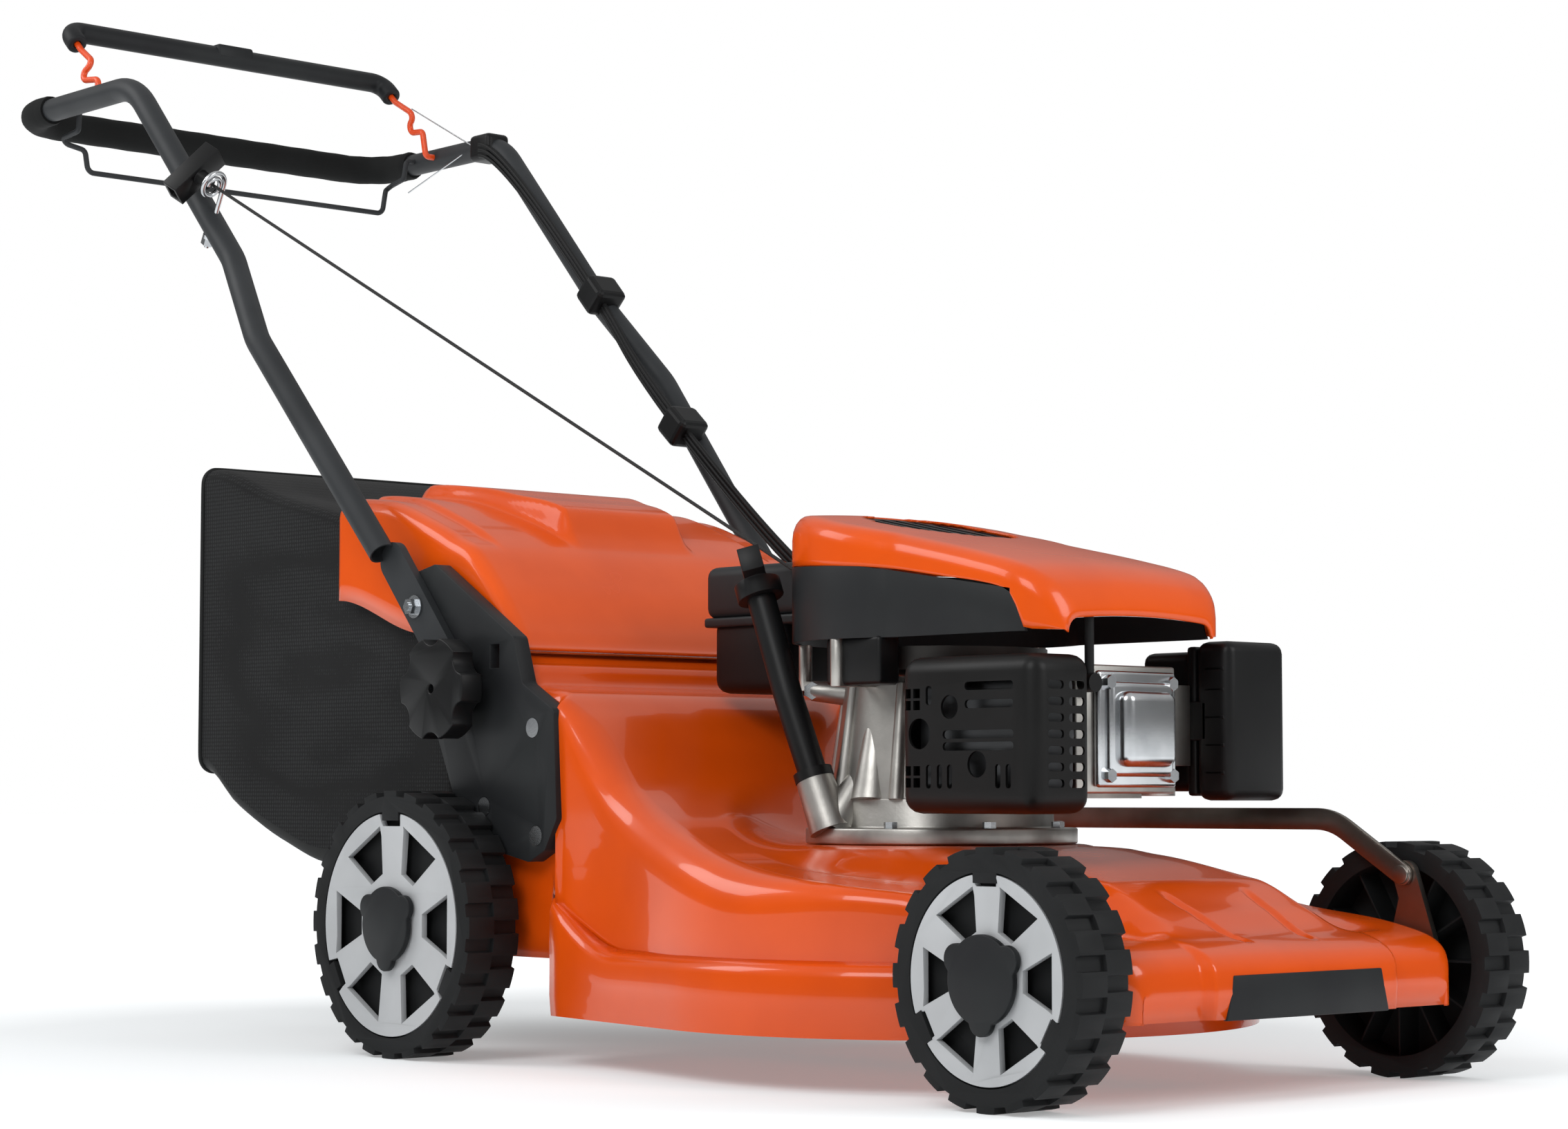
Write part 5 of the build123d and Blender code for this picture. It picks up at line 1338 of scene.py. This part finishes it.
@dataclass
class Engine:
    """Sheet, cast and moulded pieces round the engine."""

    flare_r: float = 99.0
    bolt_ring: float = 111.0
    boss_foot: Place = (-354.0, -109.0, 212.0)
    boss_top: Place = (-371.0, -112.5, 256.0)
    boss_web: Place = (-345.0, -78.0, 262.0)
    collar_top: Place = (-374.0, -113.0, 264.0)
    cone_foot: Place = (-322.0, -90.0, 238.0)
    cone_top: Place = (-327.0, -80.0, 306.0)
    arm_root: Place = (-372.0, -50.0, 332.0)
    arm_tip: Place = (-413.0, -77.0, 336.0)
    arm_bolt: Place = (-407.0, -83.0, 336.0)
    fitting_low: Place = (-343.0, -126.0, 338.0)
    fitting_high: Place = (-275.0, -100.0, 380.0)
    fitting_foot: tuple[Place, Place] = ((-338.0, -104.0, 338.5), (-300.0, -80.0, 347.0))
    guard_low: Place = (-240.0, -138.0, 227.0)
    guard_high: Place = (-80.0, -66.0, 359.0)
    guard_round: float = 15.0
    guard_wall: float = 2.5
    slot: float = 7.0
    front_rows: int = 7
    row_pitch: float = 13.5

    def guard(self) -> None:
        """Builds the muffler guard with its holes and slots."""
        low, high, wall = self.guard_low, self.guard_high, self.guard_wall
        shell = slab(low, high, self.guard_round, 5)
        inside = slab(
            (low[0] + wall, low[1] + wall, low[2] + wall),
            (high[0] - wall, high[1] + 20, high[2] - wall),
            self.guard_round - wall,
            4,
        )
        carve(shell, [inside])
        carve(shell, self.side_cuts() + self.front_cuts())
        shade(40)
        dress(shell, BLACK_ENAMEL, "muffler_guard_shell", "chassis", "muffler_guard")

    def side_cuts(self) -> list[Mesh]:
        """Returns what is cut out of the guard's side: square and round holes, and slots."""
        near, far = self.guard_low[1] - 5, self.guard_low[1] + 8
        cuts = []
        for z in (328, 318, 263, 253):
            for x in (-228, -217):
                cuts.append(slab((x - 4, near, z - 4), (x + 4, far, z + 4)))
        for x, z, radius in ((-214, 294, 13), (-178, 316, 10), (-146, 268, 11)):
            cuts.append(post((x, near, z), (x, far, z), radius))
        for x0, x1, z in ((-160, -104, 333), (-160, -104, 318), (-186, -104, 293), (-186, -104, 283)):
            cuts.append(slab((x0, near, z - 3.5), (x1, far, z + 3.5), 3.2, 3))
        for x in (-203, -190, -178, -122, -110):
            cuts.append(slab((x - 3, near, 248), (x + 3, far, 268), 2.8, 3))
        cuts.append(slab((-206, near, 318), (-199, far, 334), 2.8, 3))
        return cuts

    def front_cuts(self) -> list[Mesh]:
        """Returns the two columns of slots that are cut out of the guard's front."""
        face = self.guard_high[0]
        cuts = []
        for row in range(self.front_rows):
            z = 252 + row * self.row_pitch
            low, high = z - self.slot / 2, z + self.slot / 2
            for y0, y1 in ((-122, -103), (-97, -78)):
                cuts.append(slab((face - 8, y0, low), (face + 5, y1, high), 3.2, 3))
        return cuts

    def rocker_cover(self) -> None:
        """Builds the plated valve cover: a flange, a step and a raised pad."""
        flange = slab((-103, -44, 249), (-96, 54, 347), 3.2)
        step = slab((-101, -35, 258), (-90, 45, 338), 5, 4)
        pad = slab((-98, -27, 266), (-78, 37, 330), 9, 5)
        cover = join([flange, step, pad])
        dress(cover, ZINC_PLATE, "valve_cover_pressing", "chassis", "valve_cover")

    def air_filter(self) -> None:
        """Builds the air filter: base, seam and ribbed cover with its clips."""
        pieces = [
            slab((-190, 113, 246), (-130, 181, 368), 9, 4),
            slab((-134, 110, 242), (-124, 184, 372), 3),
            slab((-124, 108, 238), (-84, 186, 376), 10, 4),
            slab((-140, 108, 290), (-110, 112, 324), 1.6),
        ]
        for z in (262, 286, 310, 334, 352):
            pieces.append(slab((-112, 108, z - 2), (-90, 111, z + 2), 1.2))
        case = join(pieces)
        dress(case, BLACK_PLASTIC, "air_filter_case", "chassis", "air_filter_housing")

    def tank(self) -> None:
        """Builds the fuel tank: a black bowl under a grey lid."""
        bowl = slab((-587, -47, 338), (-484, 115, 410), 13, 4)
        dress(bowl, BLACK_PLASTIC, "tank_bowl", "chassis", "fuel_tank")
        lid = join([
            slab((-592, -52, 408), (-452, 119, 457), 10, 4),
            slab((-592, -52, 400), (-462, 120, 409), 2.5),
        ])
        dress(lid, GRAPHITE_PLASTIC, "tank_lid", "chassis")

    @staticmethod
    def round_crank(count: int, first: float) -> list[float]:
        """Returns evenly spaced angles round the crankshaft, from a first one in degrees."""
        return [math.radians(index * 360 / count + first) for index in range(count)]

    @staticmethod
    def off_crank(radius: float, angle: float, z: float) -> Place:
        """Returns the place at a distance, an angle and a height from the crankshaft's foot."""
        return (CRANK_X + radius * math.cos(angle), radius * math.sin(angle), z)

    def castings(self) -> None:
        """Builds the crankcase's flare, ribs, boss and arm, the dark fitting beside it and the bolts."""
        pieces = [post((CRANK_X, 0, 238), (CRANK_X, 0, 341), self.flare_r, 64, 85.5)]
        for angle in self.round_crank(9, 12):
            foot = self.off_crank(self.flare_r, angle, 239.0)
            head = self.off_crank(86, angle, 340.0)
            pieces.append(post(foot, head, 7, 16, 4.5))
        pieces.append(post(self.boss_foot, self.boss_top, 19, 32, 17))
        pieces.append(post(self.boss_web, self.boss_foot, 12, 24, 17))
        pieces.append(post(self.cone_foot, self.cone_top, 19, 32, 9))
        pieces.append(post(self.arm_root, self.arm_tip, 12, 24, 9))
        casting = join(pieces)
        dress(casting, CAST_ALUMINIUM, "crankcase_flare", "chassis")
        fitting = join([
            slab(self.fitting_low, self.fitting_high, 4, 3),
            slab(*self.fitting_foot, 1.5, 2),
            post(self.boss_top, self.collar_top, 17.5),
        ])
        dress(fitting, BLACK_PLASTIC, "case_fitting", "chassis")
        bolts = [post(self.arm_tip, self.arm_bolt, 8, 6)]
        for angle in self.round_crank(8, 22):
            for low, high, radius, sides in ((210, 213.5, 8.5, 24), (212, 219.5, 6, 6)):
                foot = self.off_crank(self.bolt_ring, angle, low)
                bolts.append(post(foot, self.off_crank(self.bolt_ring, angle, high), radius, sides))
        heads = join(bolts)
        dress(heads, ZINC_PLATE, "flange_bolts", "chassis")

    def build(self) -> None:
        """Builds the engine's pieces."""
        self.guard()
        self.rocker_cover()
        self.air_filter()
        self.tank()
        self.castings()


@dataclass
class Edges:
    """Moulded and cast nodes whose edges are rounded, with the width of the rounding."""

    widths: tuple[tuple[str, float], ...] = (
        ("crankcase", 2.5), ("cylinder_head", 2.0), ("carburettor", 2.0), ("sump", 1.6),
        ("blower_shroud", 2.0), ("bracket_left", 2.2), ("bracket_right", 2.2), ("knob_left", 3.0),
        ("knob_right", 3.0), ("starter_grip", 2.0), ("oil_cap", 3.0), ("stop_bail_cover", 2.5),
        ("height_lever", 1.2), ("front_insert", 1.0), ("fuel_cap", 2.5), ("link_bar", 0.6),
    )
    tyre_width: float = 2.0
    cap_width: float = 2.2

    def build(self) -> None:
        """Rounds the edges of each node, and of the wheels."""
        for node, width in self.widths:
            soften(node, width)
        for wheel in WHEELS:
            soften(f"wheel_{wheel}", self.tyre_width)
            soften(f"hub_cap_{wheel}", self.cap_width)


@dataclass
class WheelTrim:
    """The dished six-spoke covers of the wheels."""

    windows: int = 6
    inner: float = 0.46
    outer: float = 0.85
    inner_half: float = 12.5
    outer_half: float = 18.5
    notches: int = 3
    notch_half: float = 8.5
    notch_depth: float = 0.12
    dish: float = 3.0
    dish_start: float = 0.36
    dish_end: float = 0.97
    dish_fall: float = 0.14
    bevel: float = 2.4

    def cutter(self, middle: Place, turn: float, radii: Pair, halves: Pair, depth: Pair) -> Mesh:
        """Makes a tapered block that cuts a window or a notch out of a cover.

        Args:
            middle: Middle of the wheel, in millimetres.
            turn: Where the block stands, in degrees from the top.
            radii: Its nearest and farthest distance from the middle.
            halves: Half its angle at those distances, in degrees.
            depth: Its ends across the wheel.

        Returns:
            The block.
        """
        bpy.ops.mesh.primitive_cube_add(size=2)
        block = bpy.context.object
        for vertex in block.data.vertices:
            along_x, along_y, along_z = vertex.co
            end = 1 if along_z > 0 else 0
            angle = math.radians(turn + along_x * halves[end])
            reach = radii[end] / math.cos(math.radians(halves[end]))
            side = depth[1 if along_y > 0 else 0]
            vertex.co = at(middle[0] + reach * math.sin(angle), side, middle[2] + reach * math.cos(angle))
        return block

    def cover(self, node: str) -> None:
        """Builds one cover and stands it in for its node.

        Args:
            node: The CAD cover's name.
        """
        low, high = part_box(node)
        radius = (high.x - low.x) * 500
        middle = (((low.x + high.x) / 2 - AXLE_X) * 1000, 0.0, low.z * 1000 + radius)
        near, far = (low.y - MID_Y) * 1000, (high.y - MID_Y) * 1000
        disc = post((middle[0], near, middle[2]), (middle[0], far, middle[2]), radius, 120)
        depth = (near - 4, far + 4)
        step = 360 / self.windows
        cuts = [
            self.cutter(
                middle,
                step * (index + 0.5),
                (radius * self.inner, radius * self.outer),
                (self.inner_half, self.outer_half),
                depth,
            )
            for index in range(self.windows)
        ]
        for index in range(self.notches):
            turn = 360 / self.notches * index
            edge = (radius * (1 - self.notch_depth), radius * 1.2)
            cuts.append(self.cutter(middle, turn, edge, (self.notch_half, self.notch_half + 2), depth))
        carve(disc, cuts)
        round_edges(disc, self.bevel, 3, 40)
        inward = 1 if near < 0 else -1
        centre = at(*middle)
        for vertex in disc.data.vertices:
            share = math.hypot(vertex.co.x - centre.x, vertex.co.z - centre.z) * 1000 / radius
            sink = inward * self.dish / 1000 * ease((share - self.dish_start) / self.dish_fall)
            vertex.co.y += sink * ease((self.dish_end - share) / self.dish_fall)
        shade(35)
        dress(disc, COVER_PLASTIC, f"{node}_dished", BODY_OF[node], node)

    def build(self) -> None:
        """Builds the four covers."""
        for wheel in WHEELS:
            self.cover(f"wheel_cover_{wheel}")


@dataclass
class Studio:
    """A pale floor, soft light and the camera at the photograph's place."""

    camera_at: Place = (1832.0, -2137.7, 240.7)
    yaw: float = 2.40736
    pitch: float = 0.0685
    lens: float = 77.96
    # Reaches of the painted shadow on the floor: its glow is weakest within the first and full beyond the
    # second
    shadow_reach: float = 0.7
    glow_reach: float = 1.35

    def floor(self) -> None:
        """Lays the floor, pale enough to meet the white behind it, its glow dimmed near the mower as a
        painted shadow.
        """
        bpy.ops.mesh.primitive_plane_add(size=80)
        floor = bpy.context.object
        floor.name = "studio_floor"
        material = bpy.data.materials.new("pale_studio_floor")
        material.use_nodes = True
        tree = material.node_tree
        shader = tree.nodes["Principled BSDF"]
        # A little blue, against the orange light that the deck throws down
        fill(shader, {"Base Color": linear("DFE3E5"), "Emission Color": linear("FFFFFF")})
        fill(shader, {"Roughness": 0.9, "Specular IOR Level": 0.1})
        coords = add_node(tree, "ShaderNodeTexCoord").outputs["Object"]
        reach = add_node(tree, "ShaderNodeVectorMath", None, {0: coords}, operation="LENGTH").outputs["Value"]
        # Painted shadow: the floor's glow grows weaker towards the mower
        painted_shadow_glow = add_node(
            tree,
            "ShaderNodeMapRange",
            {"From Min": self.shadow_reach, "From Max": self.glow_reach, "To Min": 0.26, "To Max": 0.68},
            {"Value": reach},
        )
        tree.links.new(painted_shadow_glow.outputs["Result"], shader.inputs["Emission Strength"])
        floor.data.materials.append(material)

    def light(self) -> None:
        """Sets a room that is bright overhead and greyer at the sides, with three soft boxes."""
        world = bpy.context.scene.world or bpy.data.worlds.new("studio")
        bpy.context.scene.world = world
        world.use_nodes = True
        tree = world.node_tree
        room = tree.nodes["Background"]
        room.inputs["Strength"].default_value = 0.62
        ray = add_node(tree, "ShaderNodeTexCoord").outputs["Generated"]
        height = add_node(tree, "ShaderNodeSeparateXYZ", None, {0: ray}).outputs["Z"]
        shade = add_node(tree, "ShaderNodeMapRange", {"From Min": 0.0, "From Max": 0.75}, {"Value": height})
        tone = add_node(
            tree,
            "ShaderNodeMix",
            {"A": linear("505050"), "B": linear("FFFFFF")},
            {"Factor": shade.outputs["Result"]},
            data_type="RGBA",
        )
        tree.links.new(tone.outputs["Result"], room.inputs["Color"])
        white = add_node(tree, "ShaderNodeBackground", {"Strength": 1.0, "Color": linear("FFFFFF")})
        path = add_node(tree, "ShaderNodeLightPath")
        mix = add_node(
            tree,
            "ShaderNodeMixShader",
            None,
            {0: path.outputs["Is Camera Ray"], 1: room.outputs[0], 2: white.outputs[0]},
        )
        tree.links.new(mix.outputs[0], tree.nodes["World Output"].inputs["Surface"])
        for name, place, size, power in (
            ("key_softbox", (700, -2700, 2300), 1.5, 46),
            ("rear_softbox", (-2300, -1800, 2200), 1.4, 26),
            ("front_softbox", (2600, 900, 1900), 1.4, 34),
        ):
            data = bpy.data.lights.new(name, "AREA")
            data.energy = power
            data.size = size
            lamp = bpy.data.objects.new(name, data)
            lamp.location = at(*place)
            aim = at(-500, 0, 350) - lamp.location
            lamp.rotation_euler = aim.to_track_quat("-Z", "Y").to_euler()
            bpy.context.scene.collection.objects.link(lamp)

    def camera(self) -> None:
        """Places the camera."""
        data = bpy.data.cameras.new("photo_camera")
        data.lens = self.lens
        data.sensor_fit = "HORIZONTAL"
        data.sensor_width = 36.0
        camera = bpy.data.objects.new("photo_camera", data)
        camera.location = at(*self.camera_at)
        level = math.cos(self.pitch)
        look = Vector((math.cos(self.yaw) * level, math.sin(self.yaw) * level, math.sin(self.pitch)))
        camera.rotation_euler = look.to_track_quat("-Z", "Y").to_euler()
        bpy.context.scene.collection.objects.link(camera)
        bpy.context.scene.camera = camera

    def build(self) -> None:
        """Sets the stage."""
        self.floor()
        self.light()
        self.camera()
        bpy.context.scene.view_settings.view_transform = "Standard"


def main() -> None:
    """Dresses the mower, piece by piece."""
    logging.basicConfig(level=logging.INFO, format="%(name)s %(message)s")
    Studio().build()
    PALETTE.dress_nodes()
    for assembly in (Deck(), RearFlap(), EngineCowl(), Engine(), GrassBag(), Handle(), WheelTrim(), Edges()):
        assembly.build()
        LOG.info("%s done", type(assembly).__name__)


if __name__ == "__main__":
    main()
